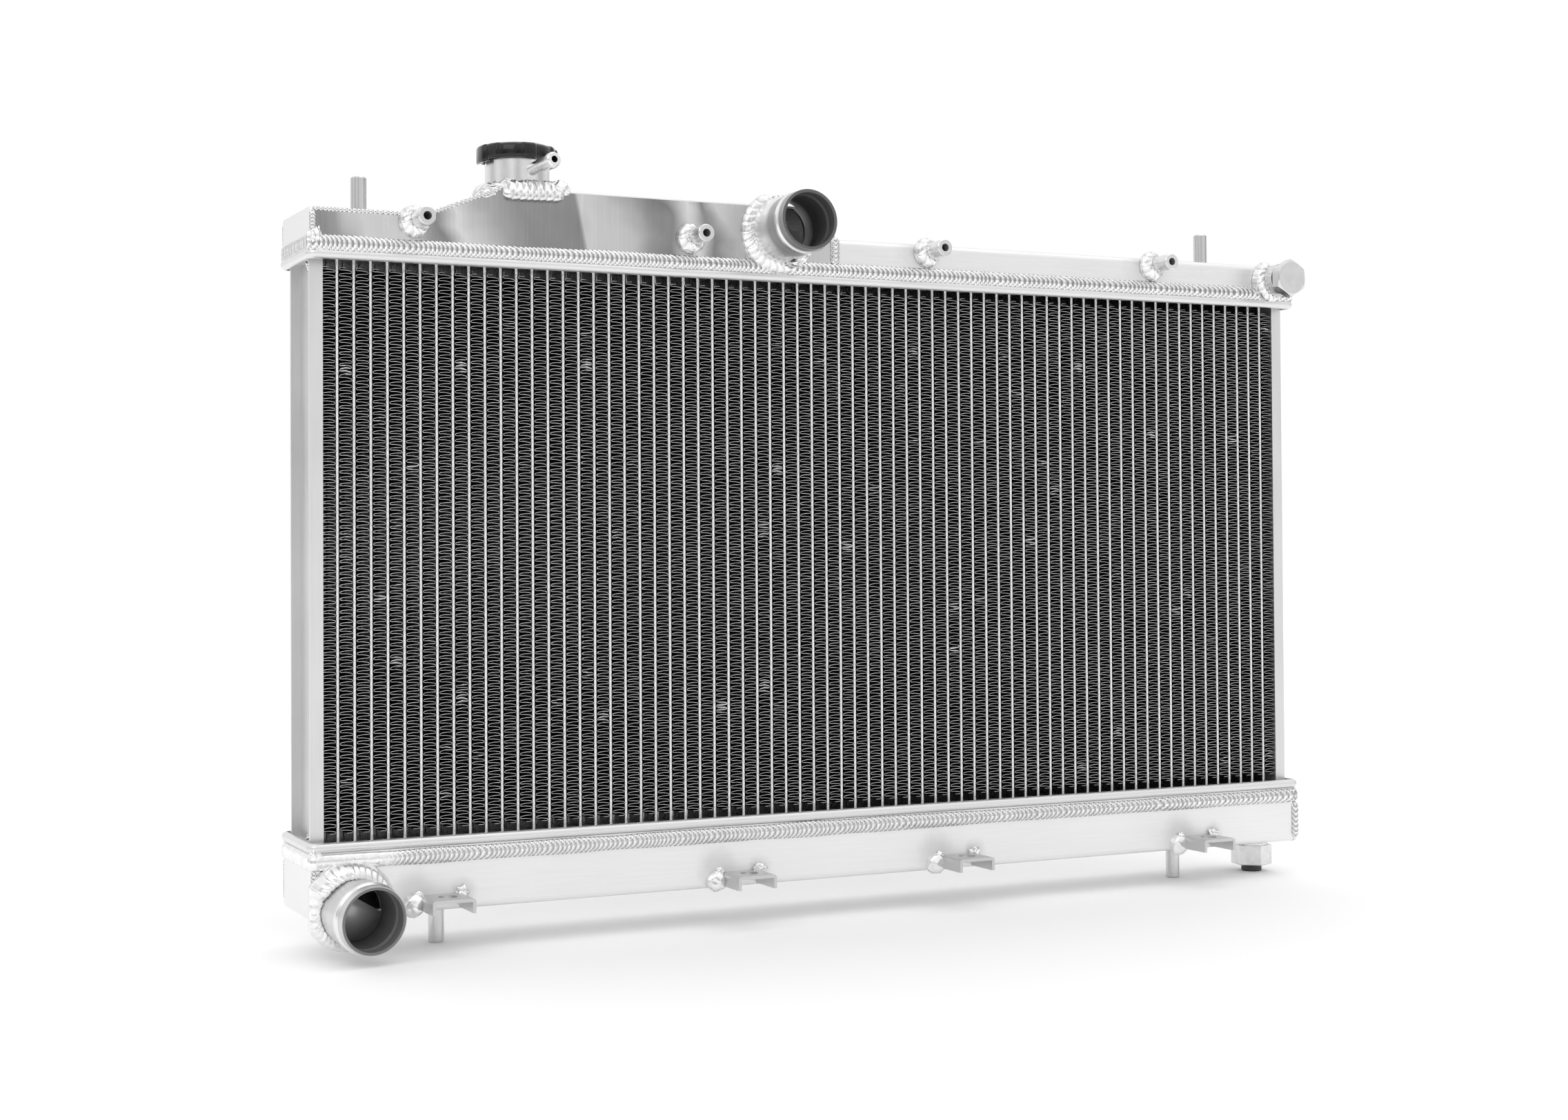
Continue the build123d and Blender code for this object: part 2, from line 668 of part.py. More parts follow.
def bleed_plug():
    """Hexagon plug with a turned face."""
    seat = BLEED_BOSS_LENGTH + BLEED_WASHER
    corner = BLEED_FLATS / 2 / cos(pi / 6)
    head = extrude(RegularPolygon(corner, 6, rotation=30), BLEED_HEAD)
    cone = turned([(0, 0), (corner, 0), (corner, BLEED_HEAD - 1.2), (BLEED_FLATS / 2 - 0.5, BLEED_HEAD),
                   (0, BLEED_HEAD)])
    head = Pos(0, 0, seat) * (head & cone)
    shank = disc(BLEED_BORE - THREAD_CLEARANCE, 1, seat)
    return bleed_place(head + shank)


def drain_boss():
    """Hexagon bung under the lower tank."""
    stem_foot = LOWER_TANK_BASE - DRAIN_STEM_HEIGHT
    stem = disc(DRAIN_STEM_RADIUS, stem_foot, LOWER_TANK_BASE, DRAIN_X, CORE_Y)
    bung = extrude(RegularPolygon(DRAIN_BOSS_CORNER, 6, rotation=20), stem_foot - DRAIN_BOSS_FOOT)
    bung = chamfer(bung.faces().sort_by(Axis.Z)[0].edges(), 0.6)
    body = Pos(DRAIN_X, CORE_Y, DRAIN_BOSS_FOOT) * bung + stem
    return body - disc(DRAIN_BORE, DRAIN_BOSS_FOOT - 1, LOWER_TANK_BASE + 1, DRAIN_X, CORE_Y)


def drain_seal():
    """Sealing ring under the drain plug's head."""
    base = DRAIN_BOSS_FOOT - DRAIN_SEAL
    return ring(DRAIN_HEAD_RADIUS - 0.3, DRAIN_BORE + 0.1, base, DRAIN_BOSS_FOOT, DRAIN_X, CORE_Y)


def drain_plug():
    """Dark drain plug with a hexagon socket in its end."""
    seat = DRAIN_BOSS_FOOT - DRAIN_SEAL
    head = Pos(DRAIN_X, CORE_Y, seat - DRAIN_HEAD / 2) * Cylinder(DRAIN_HEAD_RADIUS, DRAIN_HEAD)
    head = fillet(head.edges().sort_by(Axis.Z)[0], 0.8)
    shank = disc(DRAIN_BORE - THREAD_CLEARANCE, seat, LOWER_TANK_BASE - 3, DRAIN_X, CORE_Y)
    socket = extrude(RegularPolygon(3.0, 6, major_radius=False), 2.8)
    return head + shank - Pos(DRAIN_X, CORE_Y, seat - DRAIN_HEAD) * socket


# ---------------------------------------------------------------- weld beads

def seam_weld():
    """Bead along the joint of the upper tank and its header plate."""
    outer = RectangleRounded(TANK_WIDTH + 3, TANK_DEPTH + 3.4, 2.5)
    band = extrude(outer, SEAM_HEIGHT)
    band = chamfer(band.faces().sort_by(Axis.Z)[-1].edges(), 0.8)
    band = band - Pos(0, 0, 3) * Box(TANK_WIDTH, TANK_DEPTH, 20)
    return Pos(0, CORE_Y, CORE_TOP + SEAT_RISE) * band


def upper_seam_weld():
    """Upper seam bead, cut back where the inlet's and the bleed boss's beads run into it."""
    place = Location((INLET_X, TANK_FRONT_Y, INLET_Z), (90, 0, 0))
    inlet = place * Cylinder(INLET_RADIUS + INLET_WELD, 30)
    return seam_weld() - inlet - bleed_tool(BLEED_BOSS_RADIUS + BLEED_WELD)


def rod(a, b, radius):
    """Round rod between two points."""
    start = Vector(*a)
    along = Vector(*b) - start
    return Plane(origin=start, z_dir=along) * (Pos(0, 0, along.length / 2) * Cylinder(radius, along.length))


def root_bead(radius, width, height):
    """Fillet bead about Z round the root of a pipe or boss."""
    return turned([(radius, 0), (radius + width, 0), (radius + width * 0.6, height * 0.6), (radius, height)])


def upper_tank_edge_welds(neighbours):
    """Beads along the raised part's top edges, at the step and down the front joint."""
    beads = []
    top = raised_outline(0)
    for y in (TANK_FRONT_Y, TANK_FRONT_Y + TANK_DEPTH):
        for (xa, za), (xb, zb) in zip(top[:2], top[1:3]):
            beads.append(rod((xa, y, za - 0.8), (xb, y, zb - 0.8), EDGE_BEAD))
        beads.append(rod((STEP_X, y, CORE_TOP + 11), (STEP_X, y, LOW_TANK_TOP - 1), EDGE_BEAD))
    return [bead - neighbours for bead in beads]


def end_cap_welds(plates):
    """Beads round the free edges of the four end caps."""
    beads = []
    for side in (-1, 1):
        x = side * (TANK_WIDTH / 2 - SHEET)
        for y in (TANK_FRONT_Y, TANK_FRONT_Y + TANK_DEPTH):
            for z0, z1 in ((CORE_TOP + 11, LOW_TANK_TOP - 4), (LOWER_TANK_BASE + 4, CORE_BASE - 11)):
                beads.append(rod((x, y, z0), (x, y, z1), CAP_BEAD))
    return [bead - plates for bead in beads]


def neck_weld():
    """Bead round the foot of the filler neck."""
    bead = root_bead(NECK_RADIUS, NECK_WELD, 5)
    return Pos(NECK_X, CORE_Y, RAISED_TANK_TOP) * bead


def inlet_weld():
    """Bead round the inlet's root."""
    place = Location((INLET_X, TANK_FRONT_Y, INLET_Z), (90, 0, 0))
    bead = place * root_bead(INLET_RADIUS - 1, INLET_WELD + 1, 6)
    return bead - inlet_pipe() - pipe_tool(INLET_RADIUS + INLET_FLARE, 60)


def outlet_weld():
    """Heavy bead round the outlet's root, on the tank's front wall."""
    place = Location((OUTLET_X, TANK_FRONT_Y, OUTLET_Z), (90, 0, 0))
    bead = place * root_bead(OUTLET_RADIUS - 1, OUTLET_WELD + 1, 12)
    tool = outlet_plane() * Cylinder(OUTLET_RADIUS, 80)
    return (bead - tool) & block(-TANK_WIDTH / 2, 0, TANK_FRONT_Y - 30, TANK_FRONT_Y, 0, CORE_BASE - 4)


def boss_welds():
    """Beads round the roots of the four shroud bosses."""
    bead = root_bead(BOSS_RADIUS, BOSS_WELD, 6)
    return [Location((x, TANK_FRONT_Y, BOSS_Z), (90, 0, 0)) * bead for x in BOSS_X]


def bracket_welds():
    """Short beads at both sides of each shroud bracket."""
    beads = []
    half = BRACKET_WIDTH / 2
    for x in BRACKET_X:
        before_wall = block(x - 30, x + 30, TANK_FRONT_Y - 6, TANK_FRONT_Y, LOWER_TANK_BASE, CORE_BASE)
        bracket = block(x - half, x + half, TANK_FRONT_Y - 10, TANK_FRONT_Y + 10, 0, CORE_BASE)
        for side in (-1, 1):
            blob = Pos(x + side * (half + 1.5), TANK_FRONT_Y, BRACKET_TOP - 3) * Sphere(BRACKET_BLOB)
            beads.append((blob & before_wall) - bracket)
    return beads


def plug_boss_welds():
    """Beads round the bleed boss and the drain boss."""
    bleed = bleed_place(root_bead(BLEED_BOSS_RADIUS, BLEED_WELD, 7))
    bleed = bleed & block(0, TANK_WIDTH / 2, TANK_FRONT_Y - 20, TANK_FRONT_Y, CORE_TOP + 5, LOW_TANK_TOP)
    drain = root_bead(DRAIN_STEM_RADIUS, DRAIN_WELD, 3.5)
    drain = Pos(DRAIN_X, CORE_Y, LOWER_TANK_BASE) * mirror(drain, about=Plane.XY)
    return [bleed, drain]


def side_plate_tacks():
    """Short slanted tacks that hold the side plates to the headers."""
    tacks = []
    x0 = CORE_WIDTH / 2 + SIDE_SHEET + 1.2
    for side in (-1, 1):
        for z, up in ((CORE_BASE, 1), (CORE_TOP, -1)):
            near = (side * x0, CORE_Y - 12, z + up * 10)
            far = (side * (x0 + 3.5), CORE_Y - 12, z + up * 1.2)
            tacks.append(rod(near, far, 1.1))
    return tacks


# ---------------------------------------------------------------- assembly

def group(shapes):
    """Several separate solids of one node."""
    return Compound(children=list(shapes))


def build_parts():
    """Every node of the radiator by name."""
    parts = {
        "front_row_tubes": tube_row(ROW_Y[0]),
        "rear_row_tubes": tube_row(ROW_Y[1]),
        "fin_strips": fin_strips(),
        "left_side_plate": side_plate(-1),
        "right_side_plate": side_plate(1),
        "upper_tank_front_plate": upper_tank_front_plate(),
        "upper_tank_back_plate": upper_tank_back_plate(),
        "upper_tank_top_plate": upper_tank_top_plate(),
        "upper_tank_low_channel": upper_tank_low_channel(),
        "upper_tank_step_wall": upper_tank_step_wall(),
        "upper_tank_left_end_cap": upper_end_cap(-1),
        "upper_tank_right_end_cap": upper_end_cap(1),
        "lower_tank_channel": lower_tank_channel(),
        "lower_tank_left_end_cap": lower_end_cap(-1),
        "lower_tank_right_end_cap": lower_end_cap(1),
        "inlet_pipe": inlet_pipe(),
        "outlet_pipe": outlet_pipe(),
        "outlet_saddle": outlet_saddle(),
        "filler_neck": filler_neck(),
        "overflow_nipple": overflow_nipple(),
        "cap_cover": cap_cover(),
        "cap_locking_plate": cap_locking_plate(),
        "cap_gasket": cap_gasket(),
        "valve_bell": valve_bell(),
        "cap_rivet": cap_rivet(),
        "pressure_spring": pressure_spring(),
        "pressure_valve_plate": pressure_valve_plate(),
        "pressure_valve_seal": pressure_valve_seal(),
        "vacuum_valve": vacuum_valve(),
        "vacuum_spring": vacuum_spring(),
        "upper_left_pin": mount_pin(UPPER_PIN_X[0], LOW_TANK_TOP, 1),
        "upper_right_pin": mount_pin(UPPER_PIN_X[1], LOW_TANK_TOP, 1),
        "lower_left_pin": mount_pin(LOWER_PIN_X[0], LOWER_TANK_BASE, -1),
        "lower_right_pin": mount_pin(LOWER_PIN_X[1], LOWER_TANK_BASE, -1),
        "shroud_bosses": group([shroud_boss(x) for x in BOSS_X]),
        "bleed_boss": bleed_boss(),
        "bleed_seal": bleed_seal(),
        "bleed_plug": bleed_plug(),
        "drain_boss": drain_boss(),
        "drain_seal": drain_seal(),
        "drain_plug": drain_plug(),
        "neck_weld": neck_weld(),
        "inlet_weld": inlet_weld(),
        "outlet_weld": outlet_weld(),
        "boss_welds": group(boss_welds()),
        "bracket_welds": group(bracket_welds()),
        "plug_boss_welds": group(plug_boss_welds()),
        "side_plate_tacks": group(side_plate_tacks()),
    }
    header = upper_header_plate()
    parts["upper_header_plate"] = header
    parts["lower_header_plate"] = mirrored_down(header)
    parts["upper_seam_weld"] = upper_seam_weld()
    parts["lower_seam_weld"] = mirrored_down(seam_weld())
    for i, x in enumerate(BRACKET_X, 1):
        parts[f"shroud_bracket_{i}"] = shroud_bracket(x)
    tank = [shape for name, shape in parts.items() if name.startswith(("upper_tank", "lower_tank"))]
    bosses = [parts["boss_welds"], parts["shroud_bosses"]]
    edge_welds = upper_tank_edge_welds(tank + bosses)
    end_welds = end_cap_welds(tank + [parts["outlet_weld"]])
    parts["upper_tank_edge_welds"] = group(edge_welds)
    parts["end_cap_welds"] = group(end_welds)
    return parts


if __name__ == "__main__":
    os.makedirs("parts", exist_ok=True)
    for name, shape in build_parts().items():
        export_step(shape, f"parts/{name}.step")
        print(name)
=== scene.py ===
# %% [markdown]
# # A finned aluminium radiator
# The radiator's frame was modelled as exact solids. Here it gets its looks: folded fins,
# rippled welds, a moulded cap, and metal finishes made of nodes. The exact solids stay
# where they are. A piece that needs a richer surface is built beside them and stands in.

# %% Load the radiator
import json
import math

import bmesh
import bpy
import numpy as np
from mathutils import Matrix, Vector, noise


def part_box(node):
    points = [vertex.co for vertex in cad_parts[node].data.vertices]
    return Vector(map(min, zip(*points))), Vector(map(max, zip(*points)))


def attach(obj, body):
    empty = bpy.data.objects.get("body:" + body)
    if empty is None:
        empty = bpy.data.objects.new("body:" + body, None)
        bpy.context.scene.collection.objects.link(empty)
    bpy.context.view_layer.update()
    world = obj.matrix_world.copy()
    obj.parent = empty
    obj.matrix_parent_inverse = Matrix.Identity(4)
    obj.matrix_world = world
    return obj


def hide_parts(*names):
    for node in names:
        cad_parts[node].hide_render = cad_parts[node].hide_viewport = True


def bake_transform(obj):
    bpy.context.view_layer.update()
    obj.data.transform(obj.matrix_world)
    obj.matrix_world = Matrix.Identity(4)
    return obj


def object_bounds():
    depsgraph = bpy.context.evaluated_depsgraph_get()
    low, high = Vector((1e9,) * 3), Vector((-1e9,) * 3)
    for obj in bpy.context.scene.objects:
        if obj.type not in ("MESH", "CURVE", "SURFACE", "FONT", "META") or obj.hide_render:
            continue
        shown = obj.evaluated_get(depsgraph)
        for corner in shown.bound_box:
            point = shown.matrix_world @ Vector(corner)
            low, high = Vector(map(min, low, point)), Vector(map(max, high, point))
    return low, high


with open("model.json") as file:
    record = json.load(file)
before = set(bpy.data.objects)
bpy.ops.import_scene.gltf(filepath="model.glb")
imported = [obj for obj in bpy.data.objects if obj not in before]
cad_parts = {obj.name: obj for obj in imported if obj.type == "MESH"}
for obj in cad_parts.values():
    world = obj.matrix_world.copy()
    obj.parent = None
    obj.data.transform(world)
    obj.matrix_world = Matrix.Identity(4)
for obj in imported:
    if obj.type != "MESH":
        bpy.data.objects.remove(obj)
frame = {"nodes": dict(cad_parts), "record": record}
nodes = frame["nodes"]
cad_low, cad_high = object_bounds()
print("radiator box in metres:", [round(s, 4) for s in cad_high - cad_low])

# %% [markdown]
# ## The camera
# A studio shot of a long, flat thing is taken from one end, low and level, so that the
# near end looms and the far end shrinks. The camera is turned by a yaw, a pitch and a
# small roll. Its axes are worked out as three vectors and put in a matrix, which is
# steadier than Euler angles when three turns are mixed.

# %% Place the camera
YAW, PITCH, ROLL = (math.radians(a) for a in (26.135, 1.089, -0.339))
forward = Vector((math.sin(YAW) * math.cos(PITCH), math.cos(YAW) * math.cos(PITCH), math.sin(PITCH)))
level_right = forward.cross(Vector((0, 0, 1))).normalized()
level_up = level_right.cross(forward)
right = math.cos(ROLL) * level_right + math.sin(ROLL) * level_up
up = math.cos(ROLL) * level_up - math.sin(ROLL) * level_right
lens = bpy.data.cameras.new("studio_camera")
lens.lens, lens.sensor_width, lens.shift_y = 50.57, 36.0, -0.0377
CAMERA_SPOT = (-0.6663, -1.2661, 0.2387)
camera = bpy.data.objects.new("studio_camera", lens)
aim = Matrix((right, up, -forward)).transposed().to_4x4()
camera.matrix_world = Matrix.Translation(CAMERA_SPOT) @ aim
bpy.context.scene.collection.objects.link(camera)
bpy.context.scene.camera = camera
print("camera looks along", [round(c, 3) for c in forward])

# %% [markdown]
# ## Small helpers for node trees
# Every finish below is a short tree of nodes. One helper adds a node and fills its
# sockets, by number or by link, so that each finish reads as a list of what it does.
# The patterns are laid in object coordinates. They keep their real scale in metres, and
# they stay on the metal when a part moves.

# %% Node helpers
def add(tree, kind, inputs=(), **settings):
    """Adds a node, sets its properties, then fills or links its sockets."""
    node = tree.nodes.new(kind)
    for name, value in settings.items():
        setattr(node, name, value)
    for key, value in dict(inputs).items():
        if isinstance(value, bpy.types.NodeSocket):
            tree.links.new(value, node.inputs[key])
        else:
            node.inputs[key].default_value = value
    return node


def new_finish(name, metallic=1.0, roughness=0.3):
    """An empty finish: its tree, its shader and the object coordinates."""
    finish = bpy.data.materials.new(name)
    finish.use_nodes = True
    tree = finish.node_tree
    skin = tree.nodes["Principled BSDF"]
    skin.inputs["Metallic"].default_value = metallic
    skin.inputs["Roughness"].default_value = roughness
    place = add(tree, "ShaderNodeTexCoord").outputs["Object"]
    return finish, tree, skin, place


def object_place(tree):
    """The object coordinates of a finish that was made before."""
    return next(n for n in tree.nodes if n.type == "TEX_COORD").outputs["Object"]


def grain(tree, place, scale, detail=3.0):
    """Noise from 0 to 1, stretched by a scale along each axis, in waves per metre."""
    spread = add(tree, "ShaderNodeMapping", {"Vector": place, "Scale": scale})
    return add(tree, "ShaderNodeTexNoise", {"Vector": spread.outputs[0], "Scale": 1.0,
                                            "Detail": detail}).outputs["Fac"]


def ranged(tree, value, low, high, to_low, to_high):
    """Maps a value from one range to another and holds it at both ends."""
    return add(tree, "ShaderNodeMapRange", {"Value": value, "From Min": low, "From Max": high,
                                            "To Min": to_low, "To Max": to_high}).outputs[0]


def math_node(tree, operation, a, b=0.0):
    """One arithmetic step."""
    return add(tree, "ShaderNodeMath", {0: a, 1: b}, operation=operation).outputs[0]


def mixed(tree, amount, first, second):
    """A colour between two colours."""
    node = add(tree, "ShaderNodeMix", data_type="RGBA")
    for index, value in ((0, amount), (6, first), (7, second)):
        if isinstance(value, bpy.types.NodeSocket):
            tree.links.new(value, node.inputs[index])
        else:
            node.inputs[index].default_value = value
    return node.outputs[2]


def raise_bumps(tree, skin, height, distance, strength=1.0, under=None):
    """Turns a height into bumps, on top of any bumps under them, and returns the normal."""
    bump = add(tree, "ShaderNodeBump", {"Height": height, "Distance": distance, "Strength": strength})
    if under is not None:
        tree.links.new(under, bump.inputs["Normal"])
    tree.links.new(bump.outputs[0], skin.inputs["Normal"])
    return bump.outputs[0]


def grey(level, warmth=0.0):
    """A near-neutral colour as RGBA."""
    return (level + warmth, level, level - warmth, 1.0)

# %% [markdown]
# ## Light and floor
# Polished aluminium has hardly a colour of its own: it shows the room. A white tent
# alone would make it vanish into the floor, so photographers leave a few grey gaps in
# the tent for the metal to pick up. The world does this job: white overhead, and grey
# gaps near the horizon in chosen directions. Two soft area lights add a gentle direction.

# %% Light the studio
world = bpy.data.worlds.new("white_tent")
world.use_nodes = True
bpy.context.scene.world = world
air = world.node_tree
sky = add(air, "ShaderNodeTexCoord").outputs["Generated"]
direction = add(air, "ShaderNodeSeparateXYZ", {0: sky})
behind_camera = math_node(air, "MULTIPLY", direction.outputs["Y"], -1.0)
bearing = math_node(air, "ARCTAN2", direction.outputs["X"], behind_camera)
turn = ranged(air, bearing, -math.pi, math.pi, 0.0, 1.0)
gaps = add(air, "ShaderNodeValToRGB", {0: turn})
GAP_STOPS = [(0.00, 0.92), (0.10, 0.90), (0.17, 0.42), (0.25, 0.85), (0.33, 0.30), (0.40, 0.72), (0.46, 0.28),
             (0.50, 0.82), (0.53, 0.68), (0.548, 0.64), (0.572, 0.68), (0.59, 0.78), (0.62, 0.88),
             (0.70, 0.26), (0.78, 0.82), (0.88, 0.62), (1.00, 0.92)]
DIFFUSE_GAIN, MIRROR_GAIN = 0.17, 0.03
ramp = gaps.color_ramp
for spot, level in GAP_STOPS[1:-1]:
    ramp.elements.new(spot)
for element, (spot, level) in zip(ramp.elements, GAP_STOPS):
    element.position, element.color = spot, grey(level)
height_share = ranged(air, direction.outputs["Z"], 0.10, 0.50, 0.0, 1.0)
tent = mixed(air, height_share, gaps.outputs[0], grey(0.98))
ray = add(air, "ShaderNodeLightPath")
mirrored = ray.outputs["Is Glossy Ray"]
tent = mixed(air, mirrored, grey(1.0), tent)
air.links.new(tent, air.nodes["Background"].inputs["Color"])
gain = math_node(air, "ADD", math_node(air, "MULTIPLY", ray.outputs["Is Diffuse Ray"], DIFFUSE_GAIN),
                 math_node(air, "MULTIPLY", mirrored, MIRROR_GAIN))
air.links.new(math_node(air, "ADD", gain, 1.0), air.nodes["Background"].inputs["Strength"])
bpy.context.scene.view_settings.view_transform = "Standard"
for name, spot, size, power in (("left_softbox", (-1.6, -1.3, 1.7), 1.3, 5.0),
                                ("top_softbox", (0.5, -0.3, 2.2), 1.6, 4.0)):
    lamp = bpy.data.lights.new(name, "AREA")
    lamp.size, lamp.energy = size, power
    softbox = bpy.data.objects.new(name, lamp)
    softbox.location = spot
    softbox.rotation_euler = (Vector((0, 0, 0.25)) - Vector(spot)).to_track_quat("-Z", "Y").to_euler()
    bpy.context.scene.collection.objects.link(softbox)
print("tent has", len(ramp.elements), "stops round the horizon")

# %% Lay the floor
floor_mesh = bpy.data.meshes.new("studio_floor")
FLOOR = 14.0
floor_mesh.from_pydata([(-FLOOR, -FLOOR, 0), (FLOOR, -FLOOR, 0), (FLOOR, FLOOR, 0), (-FLOOR, FLOOR, 0)],
                       [], [(0, 1, 2, 3)])
floor = bpy.data.objects.new("studio_floor", floor_mesh)
bpy.context.scene.collection.objects.link(floor)
paper, tree, skin, place = new_finish("pale_paper", 0.0, 0.9)
tone = mixed(tree, grain(tree, place, (2, 2, 2)), grey(0.93), grey(0.96))
tree.links.new(tone, skin.inputs["Base Color"])
floor_mesh.materials.append(paper)

# %% [markdown]
# ## Sheet aluminium
# Rolled sheet has three things at once: fine scratches along the direction it was rubbed, a slow unevenness
# that bends every reflection, and dull grey smudges where a weld's heat reached it. Each is a noise at its
# own scale. The smudges are found by distance from the welded points, so they lie in the right places on
# every sheet. The polished front plate also has painted reflections: dark and bright bands along X, painted
# into its colour, so they stay on the plate from every side.

# %% Sheet finishes
def heat_marks(tree, place, spots):
    """1 at the heart of a smudge, 0 away from all of them. A spot is (x, y, z, radius)."""
    wobble = grain(tree, place, (160, 160, 160), 2.0)
    total = None
    for x, y, z, radius in spots:
        away = add(tree, "ShaderNodeVectorMath", {0: place, 1: (x, y, z)}, operation="DISTANCE")
        away = math_node(tree, "SUBTRACT", away.outputs["Value"],
                         math_node(tree, "MULTIPLY", wobble, radius * 0.5))
        mark = ranged(tree, away, radius * 0.1, radius * 0.75, 1.0, 0.0)
        total = mark if total is None else math_node(tree, "MAXIMUM", total, mark)
    return total


REFLECTION_LEAN_LEVEL = 0.435


def painted_reflection_bands(tree, place, colour, stops, astray, leaning):
    """Paints reflections into a colour: darkens it along X by stops of (x, share), with leaning edges that go
    astray.
    """
    low, high = stops[0][0], stops[-1][0]
    wander = ranged(tree, grain(tree, place, (22, 22, 26), 2.0), 0.3, 0.7, -astray, astray)
    spot = add(tree, "ShaderNodeSeparateXYZ", {0: place}).outputs
    lean = math_node(tree, "MULTIPLY", math_node(tree, "SUBTRACT", spot["Z"], REFLECTION_LEAN_LEVEL), leaning)
    x = math_node(tree, "ADD", math_node(tree, "ADD", spot["X"], lean), wander)
    curve = add(tree, "ShaderNodeValToRGB", {0: ranged(tree, x, low, high, 0.0, 1.0)})
    for _ in stops[1:-1]:
        curve.color_ramp.elements.new(0.5)
    for element, (spot, share) in zip(curve.color_ramp.elements, stops):
        element.position, element.color = (spot - low) / (high - low), grey(share)
    node = add(tree, "ShaderNodeMix", {0: 1.0}, data_type="RGBA", blend_type="MULTIPLY")
    tree.links.new(colour, node.inputs[6])
    tree.links.new(curve.outputs[0], node.inputs[7])
    return node.outputs[2]


def sheet(name, level, smooth, dull, scratch, spots=(), waviness=0.0012, heat=0.42, painted_reflections=(), keen=0.00003,
          metallic=1.0):
    """Aluminium sheet: scratch is the scratches' scale along each axis. Each set of stops along X paints
    reflection bands into the colour.
    """
    finish, tree, skin, place = new_finish(name, metallic)
    streaks = grain(tree, place, scratch, 5.0)
    patches = grain(tree, place, (14, 14, 14), 2.0)
    colour = mixed(tree, ranged(tree, streaks, 0.3, 0.7, 0.0, 1.0), grey(level * 0.96), grey(level))
    for stops, astray, leaning in painted_reflections:
        colour = painted_reflection_bands(tree, place, colour, stops, astray, leaning)
    rough = math_node(tree, "ADD", ranged(tree, patches, 0.3, 0.7, smooth, dull),
                      ranged(tree, streaks, 0.3, 0.7, -0.03, 0.05))
    if spots:
        marks = heat_marks(tree, place, spots)
        colour = mixed(tree, ranged(tree, marks, 0.0, 1.0, 0.0, heat), colour, grey(0.36))
        rough = math_node(tree, "ADD", rough, ranged(tree, marks, 0.0, 1.0, 0.0, 0.22))
    tree.links.new(colour, skin.inputs["Base Color"])
    tree.links.new(rough, skin.inputs["Roughness"])
    slow = raise_bumps(tree, skin, grain(tree, place, (11, 11, 11), 1.0), waviness * 4)
    raise_bumps(tree, skin, streaks, keen, 1.0, slow)
    return finish


record = frame["record"]
boss_spots = [m["pos_m"] for m in record["mounts"] if m["kind"] == "threaded_hole"]
hole_spots = [m["pos_m"] for m in record["mounts"] if m["name"].startswith("shroud_bracket")]
WALL_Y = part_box("upper_tank_front_plate")[0].y
upper_marks = [(x - 0.006, WALL_Y, z + 0.002, 0.022) for x, y, z in boss_spots]
lower_marks = [(x - 0.016, WALL_Y, z + 0.004, 0.015) for x, y, z in hole_spots]
lower_marks += [(x + 0.014, WALL_Y, z + 0.002, 0.009) for x, y, z in hole_spots]
inlet_low, inlet_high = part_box("inlet_pipe")
inlet_mid = (inlet_low + inlet_high) / 2
upper_marks += [(inlet_low.x - 0.008, WALL_Y, inlet_mid.z, 0.02)]
# Painted reflections on the polished front plate: bright and dark bands along X, then one dark reflection
# band that ends at a sharp edge.
PAINTED_PLATE_REFLECTIONS = [(-0.354, 0.42), (-0.340, 0.52), (-0.326, 0.98), (-0.308, 0.92), (-0.292, 0.50), (-0.280, 0.36),
               (-0.264, 1.0), (-0.247, 0.66), (-0.225, 0.60), (-0.180, 0.92), (-0.166, 0.80), (-0.146, 0.48),
               (-0.128, 0.30), (-0.112, 1.0), (-0.100, 0.34), (-0.086, 0.86), (-0.060, 0.72), (-0.014, 0.80)]
PAINTED_DARK_REFLECTION_BAND = [(-0.354, 1.0), (-0.256, 1.0), (-0.222, 0.66), (-0.1885, 0.44), (-0.1872, 1.0), (-0.014, 1.0)]
polished_sheet = sheet("polished_sheet", 0.88, 0.14, 0.22, (700, 700, 14), upper_marks, 0.0009, 0.3,
                       ((PAINTED_PLATE_REFLECTIONS, 0.011, 0.5), (PAINTED_DARK_REFLECTION_BAND, 0.0, 0.2)), 0.000006)
brushed_sheet = sheet("brushed_sheet", 0.84, 0.24, 0.36, (30, 900, 900), upper_marks, 0.0010, 0.25,
                      metallic=0.75)
satin_sheet = sheet("satin_sheet", 0.84, 0.30, 0.42, (26, 700, 700), lower_marks, 0.0012, 0.20, (), 0.00001,
                    metallic=0.65)
header_sheet = sheet("header_sheet", 0.76, 0.26, 0.38, (26, 500, 500), (), 0.0012, 0.2, (), 0.00001,
                     metallic=0.8)
side_sheet = sheet("side_sheet", 0.74, 0.34, 0.46, (800, 800, 16), keen=0.00001)
bracket_sheet = sheet("bracket_sheet", 0.62, 0.28, 0.44, (120, 500, 500), keen=0.00001)
print("heat marks on the tanks:", len(upper_marks) + len(lower_marks))

# %% [markdown]
# ## Turned, spun and welded metal
# A lathe leaves rings round its axis; here the turned pieces get noise in their tone, roughness and surface.
# Weld metal is shinier than the sheet because it froze from liquid, but its skin is finely wrinkled.
# Sparkle on a weld comes from its shape, so its finish stays simple: bright, with small pits, a little soot
# in the noise's low places, and painted shade in the low steps between puddles.

